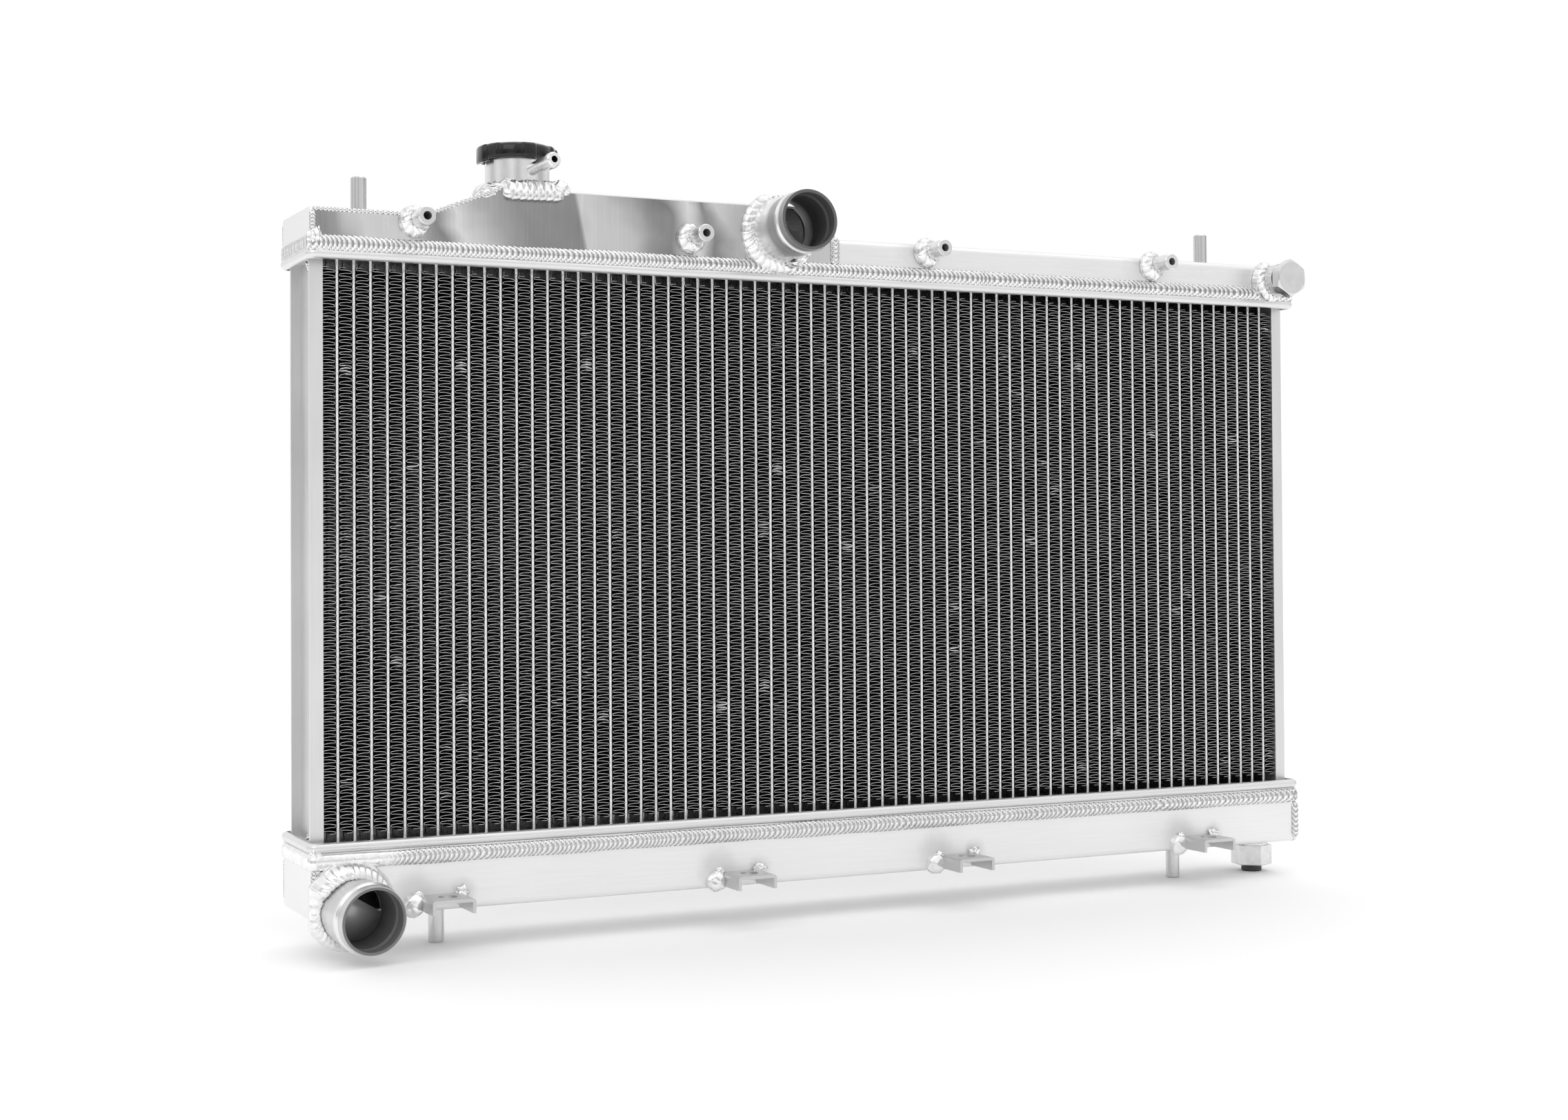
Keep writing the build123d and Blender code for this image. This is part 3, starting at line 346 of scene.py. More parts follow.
# %% Turned and welded finishes
def plain_metal(name, colour, smooth, dull, scale, bumps, soot=0.0, metallic=1.0):
    """Metal with noise in its roughness, tone and surface."""
    finish, tree, skin, place = new_finish(name, metallic)
    cloud = grain(tree, place, scale, 4.0)
    fine = grain(tree, place, tuple(s * 5 for s in scale), 2.0)
    dark = tuple(c * (1 - soot) for c in colour[:3]) + (1.0,)
    share = ranged(tree, cloud, 0.35, 0.6, 0.0, 1.0)
    tree.links.new(mixed(tree, share, dark, colour), skin.inputs["Base Color"])
    tree.links.new(ranged(tree, cloud, 0.3, 0.7, dull, smooth), skin.inputs["Roughness"])
    raise_bumps(tree, skin, fine, bumps)
    return finish


def weld_finish(name, smooth, dull, pits, valley_shade_grey):
    """Bright frozen metal; the valley attribute paints shade into the low steps between puddles."""
    finish = plain_metal(name, grey(0.92), smooth, dull, (220, 220, 220), pits, 0.10)
    tree = finish.node_tree
    skin = tree.nodes["Principled BSDF"]
    valley = add(tree, "ShaderNodeAttribute", attribute_name="valley").outputs["Fac"]
    bare = skin.inputs["Base Color"].links[0].from_socket
    share = ranged(tree, valley, 0.28, 0.95, 0.0, 1.0)
    tree.links.new(mixed(tree, share, bare, grey(valley_shade_grey)), skin.inputs["Base Color"])
    return finish


weld_metal = weld_finish("weld_metal", 0.14, 0.26, 0.00006, 0.28)
smooth_weld = weld_finish("smooth_weld", 0.20, 0.34, 0.00005, 0.56)
turned_metal = plain_metal("turned_metal", grey(0.84), 0.20, 0.30, (120, 120, 120), 0.00001, 0.05)
pin_metal = plain_metal("pin_metal", grey(0.70), 0.20, 0.30, (200, 200, 40), 0.00001, 0.08)
plug_metal = plain_metal("plug_metal", grey(0.74), 0.18, 0.28, (160, 160, 160), 0.00001, 0.08)


def shade_inside(finish, inside, level, duller):
    """Paints shade into the inside of a hole: darker, duller and less metallic."""
    tree = finish.node_tree
    skin = tree.nodes["Principled BSDF"]
    bare = skin.inputs["Base Color"].links[0].from_socket
    gloss = skin.inputs["Roughness"].links[0].from_socket
    tree.links.new(mixed(tree, inside, bare, grey(level)), skin.inputs["Base Color"])
    tree.links.new(math_node(tree, "ADD", gloss, math_node(tree, "MULTIPLY", inside, duller)),
                   skin.inputs["Roughness"])
    tree.links.new(ranged(tree, inside, 0.0, 1.0, 1.0, 0.25), skin.inputs["Metallic"])


boss_metal = plain_metal("boss_metal", grey(0.80), 0.20, 0.30, (200, 200, 200), 0.00001, 0.08)
tree = boss_metal.node_tree
place = object_place(tree)
across = add(tree, "ShaderNodeVectorMath", {0: place, 1: (1, 0, 1)}, operation="MULTIPLY").outputs[0]
# Painted shade in the bosses' threaded holes: a dark, dull disc round each boss's axis.
BOSS_HOLE = 0.0023
holes = None
for x, y, z in boss_spots:
    away = add(tree, "ShaderNodeVectorMath", {0: across, 1: (x, 0, z)}, operation="DISTANCE").outputs["Value"]
    hole = ranged(tree, away, BOSS_HOLE, BOSS_HOLE + 0.0004, 1.0, 0.0)
    holes = hole if holes is None else math_node(tree, "MAXIMUM", holes, hole)
shade_inside(boss_metal, holes, 0.06, 0.3)


def pipe_finish(name, root, axis, bore, bore_shade_grey):
    """Spun tube, satin outside, with painted shade inside its bore: darker, duller and less metallic."""
    finish = plain_metal(name, grey(0.85), 0.20, 0.30, (50, 400, 50), 0.00001, 0.06)
    tree = finish.node_tree
    place = object_place(tree)
    offset = add(tree, "ShaderNodeVectorMath", {0: place, 1: root}, operation="SUBTRACT").outputs[0]
    along = add(tree, "ShaderNodeVectorMath", {0: offset, 1: axis}, operation="CROSS_PRODUCT").outputs[0]
    radius = add(tree, "ShaderNodeVectorMath", {0: along}, operation="LENGTH").outputs["Value"]
    shade_inside(finish, ranged(tree, radius, bore + 0.0002, bore + 0.0010, 1.0, 0.0), bore_shade_grey, 0.3)
    return finish


TILT, DIP, YAW_OUT = (math.radians(a) for a in (3, 3, 8))
inlet_axis = (0, -math.cos(TILT), math.sin(TILT))
outlet_axis = (math.sin(YAW_OUT) * math.cos(DIP), -math.cos(YAW_OUT) * math.cos(DIP), -math.sin(DIP))
INLET_ROOT, OUTLET_ROOT = (-0.0525, -0.013, 0.4365), (-0.331, -0.013, 0.0285)
inlet_metal = pipe_finish("inlet_metal", INLET_ROOT, inlet_axis, 0.0185, 0.10)
outlet_metal = pipe_finish("outlet_metal", OUTLET_ROOT, outlet_axis, 0.0189, 0.17)
spring_steel = plain_metal("spring_steel", grey(0.62), 0.22, 0.34, (260, 260, 260), 0.00003, 0.2)
valve_brass = plain_metal("valve_brass", (0.72, 0.56, 0.30, 1), 0.24, 0.36, (180, 180, 180), 0.00003, 0.25)

plate_grey = sheet("plate_grey", 0.90, 0.34, 0.48, (60, 60, 60), keen=0.00001, metallic=0.35)
tree = plate_grey.node_tree
skin = tree.nodes["Principled BSDF"]
place = object_place(tree)
# Painted light and shade on the outlet's inner plate: bright at a lit corner by the slanted edge, with
# painted shade that deepens down and to the right, into the pipe.
PAINTED_LIT_CORNER, PAINTED_SHADE_WAY = (-0.338, 0, 0.0385), (0.6, 0, -0.8)
offset = add(tree, "ShaderNodeVectorMath", {0: place, 1: PAINTED_LIT_CORNER}, operation="SUBTRACT").outputs[0]
shade_fall = add(tree, "ShaderNodeVectorMath", {0: offset, 1: PAINTED_SHADE_WAY}, operation="DOT_PRODUCT")
painted_shade_depth = shade_fall.outputs["Value"]
bare = skin.inputs["Base Color"].links[0].from_socket
tree.links.new(mixed(tree, ranged(tree, painted_shade_depth, 0.004, 0.026, 0.0, 1.0), bare, grey(0.22)),
               skin.inputs["Base Color"])

# %% [markdown]
# ## Black and rubber finishes
# The cap is moulded black plastic with a hard gloss. The seals are dull rubber, and the
# drain plug is a dark grey moulding. Black needs its detail in the highlights, so the
# noise goes to the roughness and to a faint orange-peel bump.

# %% Black finishes
def moulding(name, level, smooth, dull, coat=0.0):
    """Moulded plastic or rubber: faint orange peel, uneven gloss."""
    finish, tree, skin, place = new_finish(name, 0.0)
    peel = grain(tree, place, (900, 900, 900), 2.0)
    rubbed = grain(tree, place, (90, 90, 90), 4.0)
    tree.links.new(mixed(tree, rubbed, grey(level * 0.8), grey(level * 1.3)), skin.inputs["Base Color"])
    tree.links.new(ranged(tree, rubbed, 0.3, 0.7, smooth, dull), skin.inputs["Roughness"])
    skin.inputs["Coat Weight"].default_value = coat
    skin.inputs["Specular IOR Level"].default_value = 0.3
    raise_bumps(tree, skin, peel, 0.00002)
    return finish


cap_black = moulding("cap_black", 0.004, 0.06, 0.14, 0.4)
seal_rubber = moulding("seal_rubber", 0.02, 0.55, 0.7)
drain_dark = moulding("drain_dark", 0.05, 0.35, 0.5)

# %% [markdown]
# ## Tubes and fins: two finishes for one trick of light
# A core looks black because light that enters a cell is lost among the fins. A renderer
# would need a great many bounces to darken it as far, so the fin's faces are painted
# nearly black, and only the cut edges of the strip, which face the room, stay bright.
# The tubes get the same: the rounded nose is bright and the flat sides are dark.

# %% Core finishes
fin_dark, tree, skin, place = new_finish("fin_dark", 0.0, 0.55)
depth_cloud = grain(tree, place, (60, 300, 500), 3.0)
tree.links.new(mixed(tree, depth_cloud, grey(0.018), grey(0.045)), skin.inputs["Base Color"])
raise_bumps(tree, skin, depth_cloud, 0.00005)

fin_edge, tree, skin, place = new_finish("fin_edge", 0.7, 0.42)
glints = grain(tree, place, (260, 260, 420), 2.0)
tree.links.new(mixed(tree, ranged(tree, glints, 0.42, 0.72, 0.0, 1.0), grey(0.58), grey(0.95)),
               skin.inputs["Base Color"])
raise_bumps(tree, skin, glints, 0.00006)

tube_metal, tree, skin, place = new_finish("tube_metal", 0.85, 0.34)
facing = add(tree, "ShaderNodeSeparateXYZ", {0: add(tree, "ShaderNodeTexCoord").outputs["Normal"]})
sideways = math_node(tree, "ABSOLUTE", facing.outputs["X"])
flat_side = ranged(tree, sideways, 0.75, 0.97, 0.0, 1.0)
nodules = grain(tree, place, (500, 500, 560), 2.0)
tube_tone = mixed(tree, ranged(tree, nodules, 0.35, 0.65, 0.0, 1.0), grey(0.72), grey(0.90))
tree.links.new(mixed(tree, flat_side, tube_tone, grey(0.04)), skin.inputs["Base Color"])
raise_bumps(tree, skin, nodules, 0.0005)
print("finishes so far:", len(bpy.data.materials))

# %% [markdown]
# ## Dressing the exact solids
# Most solids keep their shape and only need a finish. A table of name patterns says
# which finish each one takes. The first pattern that fits wins.

# %% Give each solid its finish
FINISHES = [
    ("upper_tank_front_plate", polished_sheet), ("upper_tank_step_wall", polished_sheet),
    ("upper_tank", brushed_sheet), ("lower_tank", satin_sheet), ("outlet_saddle", satin_sheet),
    ("side_plate_tacks", weld_metal), ("header_plate", header_sheet), ("side_plate", side_sheet),
    ("row_tubes", tube_metal), ("fin_strips", fin_dark), ("weld", weld_metal),
    ("inlet_pipe", inlet_metal), ("outlet_pipe", outlet_metal), ("filler_neck", turned_metal),
    ("overflow_nipple", turned_metal), ("cap_cover", cap_black), ("cap_gasket", seal_rubber),
    ("valve_seal", seal_rubber), ("drain_seal", seal_rubber), ("pressure_valve_plate", valve_brass),
    ("vacuum_valve", valve_brass), ("drain_plug", drain_dark), ("shroud_bracket", bracket_sheet),
    ("_pin", pin_metal), ("shroud_bosses", boss_metal), ("bleed_plug", plug_metal),
    ("bleed_boss", plug_metal), ("drain_boss", plug_metal), ("bleed_seal", seal_rubber), ("", spring_steel),
]
for name, solid in nodes.items():
    finish = next(f for pattern, f in FINISHES if pattern in name)
    solid.data.materials.clear()
    solid.data.materials.append(finish)
print("dressed", len(nodes), "solids")

# %% [markdown]
# ## Making a mesh from parts
# Welds, fins and the cap are computed as points and faces with numpy, because their detail repeats by rule.
# Each builder returns (points, faces). One function then joins several of them into a piece, keeps everything
# inside the radiator's true box, and ties the piece to the body that it moves with, when it is given one
# body's name.

# %% Piece maker
INSIDE = 0.0002
box_low = np.array(cad_low) + INSIDE
box_high = np.array(cad_high) - INSIDE


def make_piece(name, shells, finishes, slot, stands_for, body="radiator", face_finish=None):
    """Joins shells into one object; face_finish gives a finish number for each face.
    body is a body's name, to tie the piece to; given two bodies and two points instead, the piece is tied to
    no body and does not bend."""
    points, faces, valleys, count = [], [], [], 0
    for shell_points, shell_faces, *shell_valley in shells:
        points.append(np.clip(shell_points, box_low, box_high))
        valleys.append(shell_valley[0] if shell_valley else np.zeros(len(shell_points)))
        faces.extend(tuple(int(i) + count for i in face) for face in shell_faces)
        count += len(shell_points)
    mesh = bpy.data.meshes.new(name)
    mesh.from_pydata(np.concatenate(points).tolist(), [], faces)
    for finish in finishes:
        mesh.materials.append(finish)
    if face_finish is not None:
        mesh.polygons.foreach_set("material_index", np.asarray(face_finish, dtype=np.int32))
    if slot == "weld_bead":
        mesh.attributes.new("valley", "FLOAT", "POINT").data.foreach_set("value", np.concatenate(valleys))
    mesh.polygons.foreach_set("use_smooth", [True] * len(mesh.polygons))
    piece = bpy.data.objects.new(name, mesh)
    bpy.context.scene.collection.objects.link(piece)
    if isinstance(body, str):
        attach(piece, body)
    else:
        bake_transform(piece)
    if stands_for:
        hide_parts(*stands_for)
    print(name, "faces:", len(mesh.polygons))
    return piece


def hoop_faces(rows, columns, closed):
    """Faces that join rows of looped points into a skin, with a lid on each open end."""
    last = rows if closed else rows - 1
    faces = []
    for i in range(last):
        here, there = i * columns, (i + 1) % rows * columns
        for j in range(columns):
            k = (j + 1) % columns
            faces.append((here + j, here + k, there + k, there + j))
    if not closed:
        faces.append(tuple(range(columns - 1, -1, -1)))
        faces.append(tuple(range((rows - 1) * columns, rows * columns)))
    return faces

# %% [markdown]
# ## The weld bead
# A hand-laid weld is a row of frozen puddles, each lapping over the one before. Seen
# from above each puddle's edge is a crescent. A bump map would give the shading but not
# the broken outline, so the bead is real geometry: a half-round section is carried along
# a path, and its height follows a saw wave. The wave's phase grows with the square of
# the distance from the bead's middle, and that bends each step into a crescent.

# %% Bead builder
RIPPLE_SAMPLES = 7
RISE_SHARE = 0.16
FULL_VALLEY = 0.3


def lay_bead(path, width, height, pitch, span=(0, 180), closed=False, crescent=0.55, depth=0.34,
             seed=1, columns=11, stride=1.0):
    """A rippled bead. path is (centre, across, out), three rows of vectors along the seam.
    stride stretches the pitch, and width, height, depth and stride may vary along the path."""
    centre, across, out = (np.asarray(p, float) for p in path)
    steps = np.linalg.norm(np.diff(centre, axis=0), axis=1)
    run = np.concatenate([[0.0], np.cumsum(steps)])
    dice = np.random.default_rng(seed)
    wander = np.array([noise.noise(Vector((s / pitch * 0.23, seed * 7.7, 0.3))) for s in run])
    swell = np.array([noise.noise(Vector((s / pitch * 0.11, seed * 3.1, 5.5))) for s in run])
    full = span[1] - span[0] >= 360
    angle = np.radians(np.linspace(span[0], span[1], columns, endpoint=not full))
    side = np.cos(angle)[None, :]
    rise = np.sin(angle)[None, :]
    middle = np.cos(math.radians((span[0] + span[1]) / 2))
    pace = np.broadcast_to(stride, run.shape)
    laps = np.concatenate([[0.0], np.cumsum(steps / pitch / pace[1:])])
    phase = laps[:, None] + 0.7 * wander[:, None] + crescent * (side - middle) ** 2 * 1.6
    share = phase % 1.0
    saw = np.where(share < RISE_SHARE, share / RISE_SHARE, 1 - (share - RISE_SHARE) / (1 - RISE_SHARE))
    gain = 1 + 0.16 * (dice.random(int(phase.max()) + 3) - 0.5)
    deep = np.broadcast_to(depth, run.shape)[:, None]
    lift = (1 - deep + deep * saw ** 0.8) * gain[np.floor(phase).astype(int) + 1]
    reach = 1 + 0.14 * swell[:, None] + 0.22 * deep * (saw - 0.5)
    if not closed:
        ends = np.clip(np.minimum(run, run[-1] - run) / (pitch * 0.9), 0, 1) ** 0.5
        lift = lift * (0.3 + 0.7 * ends[:, None])
        reach = reach * (0.4 + 0.6 * ends[:, None])
    wide = np.broadcast_to(width, run.shape)[:, None] * side * reach
    tall = np.broadcast_to(height, run.shape)[:, None] * rise * lift
    skin_points = centre[:, None] + across[:, None] * wide[..., None] + out[:, None] * tall[..., None]
    # The valley share marks the low step between puddles, where the weld's finish paints shade.
    valley = (1 - saw) * np.clip(deep / FULL_VALLEY, 0, 1)
    if not full:
        root = centre - out * 0.0004 - across * (0.0004 if span[1] <= 90 else 0.0)
        skin_points = np.concatenate([skin_points, root[:, None]], axis=1)
        valley = np.concatenate([valley, valley[:, -1:]], axis=1)
    rows, loop = skin_points.shape[:2]
    return skin_points.reshape(-1, 3), hoop_faces(rows, loop, closed), valley.ravel()


def straight(start, end, across, out, pitch):
    """A straight path, sampled finely enough for its ripples."""
    start, end = np.array(start, float), np.array(end, float)
    count = max(8, int(np.linalg.norm(end - start) / pitch * RIPPLE_SAMPLES))
    centre = start + (end - start) * np.linspace(0, 1, count)[:, None]
    return centre, np.tile(across, (count, 1)), np.tile(out, (count, 1))


def ringed(centre, axis, radius, first, last, pitch):
    """A path round an axis from one bearing to another, in degrees; its side points outwards."""
    axis = Vector(axis).normalized()
    level = Vector((1, 0, 0)) if abs(axis.x) < 0.9 else Vector((0, 1, 0))
    level = (level - axis * level.dot(axis)).normalized()
    third = level.cross(axis) if axis.y < 0 else axis.cross(level)
    if axis.y < -0.5:
        third = Vector((0, 0, 1)) - axis * axis.z
    length = radius * math.radians(last - first)
    bearings = np.radians(np.linspace(first, last, max(12, int(length / pitch * RIPPLE_SAMPLES))))
    outwards = np.cos(bearings)[:, None] * np.array(level) + np.sin(bearings)[:, None] * np.array(third)
    return np.array(centre) + radius * outwards, outwards, np.tile(np.array(axis), (len(bearings), 1))


def blob(centre, radii, seed, lumps=0.18, facets=4):
    """A frozen drop: a ball pushed about by noise."""
    work = bmesh.new()
    bmesh.ops.create_icosphere(work, subdivisions=facets, radius=1.0)
    points = []
    for vert in work.verts:
        push = 1 + lumps * noise.noise(vert.co * 1.7 + Vector((seed * 5.3, 0, 0)))
        push += lumps * 0.4 * noise.noise(vert.co * 5.1 + Vector((0, seed * 3.7, 0)))
        points.append([centre[i] + vert.co[i] * radii[i] * push for i in range(3)])
    faces = [tuple(v.index for v in face.verts) for face in work.faces]
    work.free()
    return np.array(points), faces

# %% [markdown]
# ## The long seams
# The longest welds join each tank to its header plate, all the way round. Their path is
# a rectangle with small rounded corners on the tank's wall. The bead is broad on the
# front, where it was laid flat, and a little lower elsewhere.

# %% Seams of the two tanks
PITCH = 0.0034
tank_low, tank_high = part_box("lower_tank_channel")
tank_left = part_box("lower_tank_left_end_cap")[0].x
header_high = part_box("upper_header_plate")[1]


def tank_path(level, corner=0.003):
    """Round the tank's wall at one level, counter-clockwise seen from above."""
    x, y0, y1 = -tank_left, tank_low.y, tank_high.y
    centre, out = [], []
    corners = [(x, y0, -90), (x, y1, 0), (-x, y1, 90), (-x, y0, 180)]
    step = PITCH / RIPPLE_SAMPLES
    for i, (cx, cy, first) in enumerate(corners):
        mx, my = cx - math.copysign(corner, cx), cy + (corner if cy == y0 else -corner)
        for a in np.radians(np.linspace(first, first + 90, 10)):
            centre.append((mx + corner * math.cos(a), my + corner * math.sin(a), level))
            out.append((math.cos(a), math.sin(a), 0.0))
        nx, ny, following = corners[(i + 1) % 4]
        ex, ey = nx - math.copysign(corner, nx), ny + (corner if ny == y0 else -corner)
        turn_out = np.array([math.cos(math.radians(following)), math.sin(math.radians(following))])
        begin = np.array(centre[-1][:2])
        finish_at = np.array([ex, ey]) + corner * turn_out
        count = int(np.linalg.norm(finish_at - begin) / step)
        for t in np.linspace(0, 1, count, endpoint=False)[1:]:
            centre.append((*(begin + (finish_at - begin) * t), level))
            out.append((*turn_out, 0.0))
    return np.array(centre), np.array(out)


def fused(centre, out, most):
    """Ripple depth: none by the outlet, where the seam was melted into the pipe's weld."""
    by_outlet = (out[:, 1] < -0.5) | (centre[:, 0] < tank_left + 0.01)
    share = np.clip((centre[:, 0] - OUTLET_SIDE) / 0.02, 0.08, 1)
    return most * np.where(by_outlet, share, 1.0)


OUTLET_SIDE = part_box("outlet_pipe")[0].x + 0.035
for name, level, way, seed in (("upper_seam", header_high.z + 0.0032, 1.0, 3),
                               ("lower_seam", tank_high.z - 0.0052, -1.0, 8)):
    centre, out = tank_path(level)
    front = np.clip(-out[:, 1], 0, 1)
    bead = lay_bead((centre, np.tile((0, 0, way), (len(centre), 1)), out), 0.0047,
                    0.0018 + 0.0011 * front, PITCH, closed=True, crescent=0.75,
                    depth=fused(centre, out, 0.36) if name == "lower_seam" else 0.38, seed=seed,
                    stride=1 + 0.28 * np.clip(centre[:, 0] / -tank_left, -0.4, 1))
    make_piece(name + "_bead", [bead], [weld_metal], "weld_bead", [name + "_weld"])

# %% [markdown]
# ## Edge welds
# The raised part of the upper tank is closed along its top edges by a thin stitch, and a
# narrow zigzag runs down the step. A whole round section suits an outside edge, because
# the bead shows from two sides.

# %% Stitches along the edges
top_low, top_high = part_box("upper_tank_top_plate")
step_x = top_high.x
left_x = top_low.x
flat_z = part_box("upper_tank_left_end_cap")[1].z
SLOPE_FOOT, SLOPE_HEAD = -0.285, -0.237
STITCH = 0.0026
EDGE_DROP = 0.0012
SEAM_GAP = 0.007
stitches = []
for y, out_y in ((tank_low.y, -1), (tank_high.y, 1)):
    corners = [(left_x, flat_z), (SLOPE_FOOT, flat_z), (SLOPE_HEAD, top_high.z)]
    for (xa, za), (xb, zb) in zip(corners, corners[1:]):
        inset = y - out_y * 0.0006
        path = straight((xa, inset, za - EDGE_DROP), (xb, inset, zb - EDGE_DROP), (0, out_y, 0), (0, 0, 1),
                        STITCH)
        stitches.append(lay_bead(path, 0.0017, 0.0016, STITCH, span=(0, 360), seed=int(xb * -100),
                                 columns=12))
    down = straight((step_x, y, flat_z + 0.0005), (step_x, y, header_high.z + SEAM_GAP), (1, 0, 0),
                    (0, out_y, 0), STITCH)
    stitches.append(lay_bead(down, 0.0031, 0.0019, STITCH, crescent=1.1, seed=21 + out_y))
across_step = straight((step_x, tank_low.y + 0.002, flat_z), (step_x, tank_high.y - 0.002, flat_z),
                       (1, 0, 0), (0, 0, 1), STITCH)
stitches.append(lay_bead(across_step, 0.003, 0.003, STITCH, span=(0, 90), seed=31))
make_piece("raised_tank_stitches", stitches, [weld_metal], "weld_bead", ["upper_tank_edge_welds"])

# %% Stitches down the tank's ends, and the knobs where they meet the seams
end_beads = []
for side in (-1, 1):
    x = side * (-tank_left - 0.0016)
    for y, out_y in ((tank_low.y, -1), (tank_high.y, 1)):
        for z0, z1 in ((header_high.z + SEAM_GAP, flat_z - 0.002), (tank_high.z - 0.010, tank_low.z + 0.003)):
            path = straight((x, y, z0), (x, y, z1), (side, 0, 0), (0, out_y, 0), STITCH)
            size = 1.35 if side > 0 and z0 < flat_z / 2 else 0.85
            end_beads.append(lay_bead(path, 0.0021 * size, 0.0014 * size, STITCH * size, depth=0.42,
                                      seed=int(40 + z0 * 90 + out_y)))
left_front = (tank_left + 0.003, tank_low.y + 0.0005)
# Each knob: distance from the left end, level, and its half sizes along the three axes.
KNOBS = [(0.0, 0.4165, 0.0042, 0.0026, 0.0062), (0.0045, 0.409, 0.0038, 0.0026, 0.0040),
         (0.0, 0.0605, 0.0038, 0.0028, 0.0048), (0.009, 0.0545, 0.0085, 0.0020, 0.0042),
         (0.022, 0.0555, 0.0070, 0.0018, 0.0036)]
for number, (dx, z, rx, ry, rz) in enumerate(KNOBS):
    end_beads.append(blob((left_front[0] + dx, left_front[1], z), (rx, ry, rz), number + 2, 0.5))
make_piece("tank_end_stitches", end_beads, [weld_metal], "weld_bead", ["end_cap_welds"])

# %% [markdown]
# ## Welds round pipes and bosses
# A weld round a pipe is a fillet: it fills the corner between the pipe and the wall.
# Only a quarter of a round section is needed, from the wall up to the pipe. The welder
# couldn't reach all sides equally, so the beads swell on the side that was easy to reach.

# %% Fillets round the pipes
def swelling(path, least, most, towards):
    """Bead size along a ring that is greatest towards a bearing, in degrees."""
    outwards = path[1]
    bearing = np.arctan2(outwards[:, 2], outwards[:, 0])
    near = (1 + np.cos(bearing - math.radians(towards))) / 2
    return least + (most - least) * near


inlet_root = (inlet_mid.x, tank_low.y, INLET_ROOT[2])
INLET_COLLAR = 0.0205
ring = ringed(inlet_root, (0, -1, 0), INLET_COLLAR, 110, 345, 0.0042)
size = swelling(ring, 0.0035, 0.0078, 215)
inlet_beads = [lay_bead(ring, size, size * 0.72, 0.0042, span=(0, 90), crescent=0.8, depth=0.18, seed=5)]
ring = ringed(inlet_root, (0, -1, 0), INLET_COLLAR, -15, 110, 0.0034)
inlet_beads.append(lay_bead(ring, 0.0026, 0.0026, 0.0034, span=(0, 90), seed=6))
inlet_beads.append(blob((inlet_root[0] + 0.006, tank_low.y - 0.005, inlet_root[2] - 0.0215),
                        (0.0055, 0.006, 0.0022), 9, 0.4))
make_piece("inlet_fillet", inlet_beads, [weld_metal], "weld_bead", ["inlet_weld"])

outlet_root = (OUTLET_ROOT[0], tank_low.y, OUTLET_ROOT[2])
OUTLET_COLLAR = 0.0192
ring = ringed(outlet_root, (0, -1, 0), OUTLET_COLLAR, -60, 300, 0.0032)
leftwards = np.maximum(-ring[1][:, 0], 0.05)
room = (outlet_root[0] - box_low[0]) / leftwards - OUTLET_COLLAR
size = np.minimum(swelling(ring, 0.0045, 0.0100, 110), room * 0.96)
heavy = lay_bead(ring, size, size * 1.25, 0.0032, span=(0, 90), crescent=1.2, depth=0.10, seed=12,
                 columns=14)
make_piece("outlet_fillet", [heavy], [smooth_weld], "weld_bead", ["outlet_weld"])

# %% [markdown]
# ## The plate inside the outlet
# The pipe is larger than the hole behind it. The tank's wall crosses the pipe's root as
# a flat plate with one slanted edge, and only the gap above that edge leads inside.

# %% Cut the outlet's inner plate
BORE = 0.0176
SLANT_LEFT, SLANT_RIGHT = 123, 354
plate_ring = [(math.cos(math.radians(b)), math.sin(math.radians(b)))
              for b in range(SLANT_LEFT, SLANT_RIGHT + 1, 7)]
count = len(plate_ring)
plate_points = [(outlet_root[0] + BORE * u, y, outlet_root[2] + BORE * v)
                for y in (tank_low.y - 0.0030, tank_low.y - 0.0012) for u, v in plate_ring]
plate_faces = [tuple(range(count)), tuple(range(2 * count - 1, count - 1, -1))]
plate_faces += [(i, i + count, (i + 1) % count + count, (i + 1) % count) for i in range(count)]
make_piece("outlet_inner_plate", [(np.array(plate_points), plate_faces)], [plate_grey], "satin_sheet", [])

# %% Fillets round the neck, the bosses and the plugs
NECK_X = -0.217
neck_axis = (NECK_X, (tank_low.y + tank_high.y) / 2)
ring = ringed((*neck_axis, top_high.z), (0, 0, 1), 0.0194, 0, 360, 0.0042)
neck_beads = [lay_bead(ring, 0.0085, 0.0062, 0.0042, span=(0, 90), crescent=1.1, depth=0.20, seed=14)]
edge = [(-0.2535, 0.4462), (-0.2385, 0.4515), (-0.198, 0.4520)]
lean = np.array((0, -0.75, 0.66))
side = np.array((0, -0.66, -0.75))
for number, ((xa, za), (xb, zb), share) in enumerate(zip(edge, edge[1:], (0.5, 1.0))):
    path = straight((xa, tank_low.y + 0.003, za), (xb, tank_low.y + 0.003, zb), side, lean, 0.0044)
    neck_beads.append(lay_bead(path, 0.0084 * share, 0.0054 * share, 0.0048, crescent=1.3, depth=0.24,
                               seed=16 + number))
neck_beads.append(blob((-0.2265, -0.003, 0.4535), (0.018, 0.009, 0.0042), 3, 0.25))
neck_beads.append(blob((-0.2005, tank_low.y + 0.002, 0.4535), (0.0055, 0.0055, 0.0055), 13, 0.35))
make_piece("neck_fillet", neck_beads, [weld_metal], "weld_bead", ["neck_weld"])

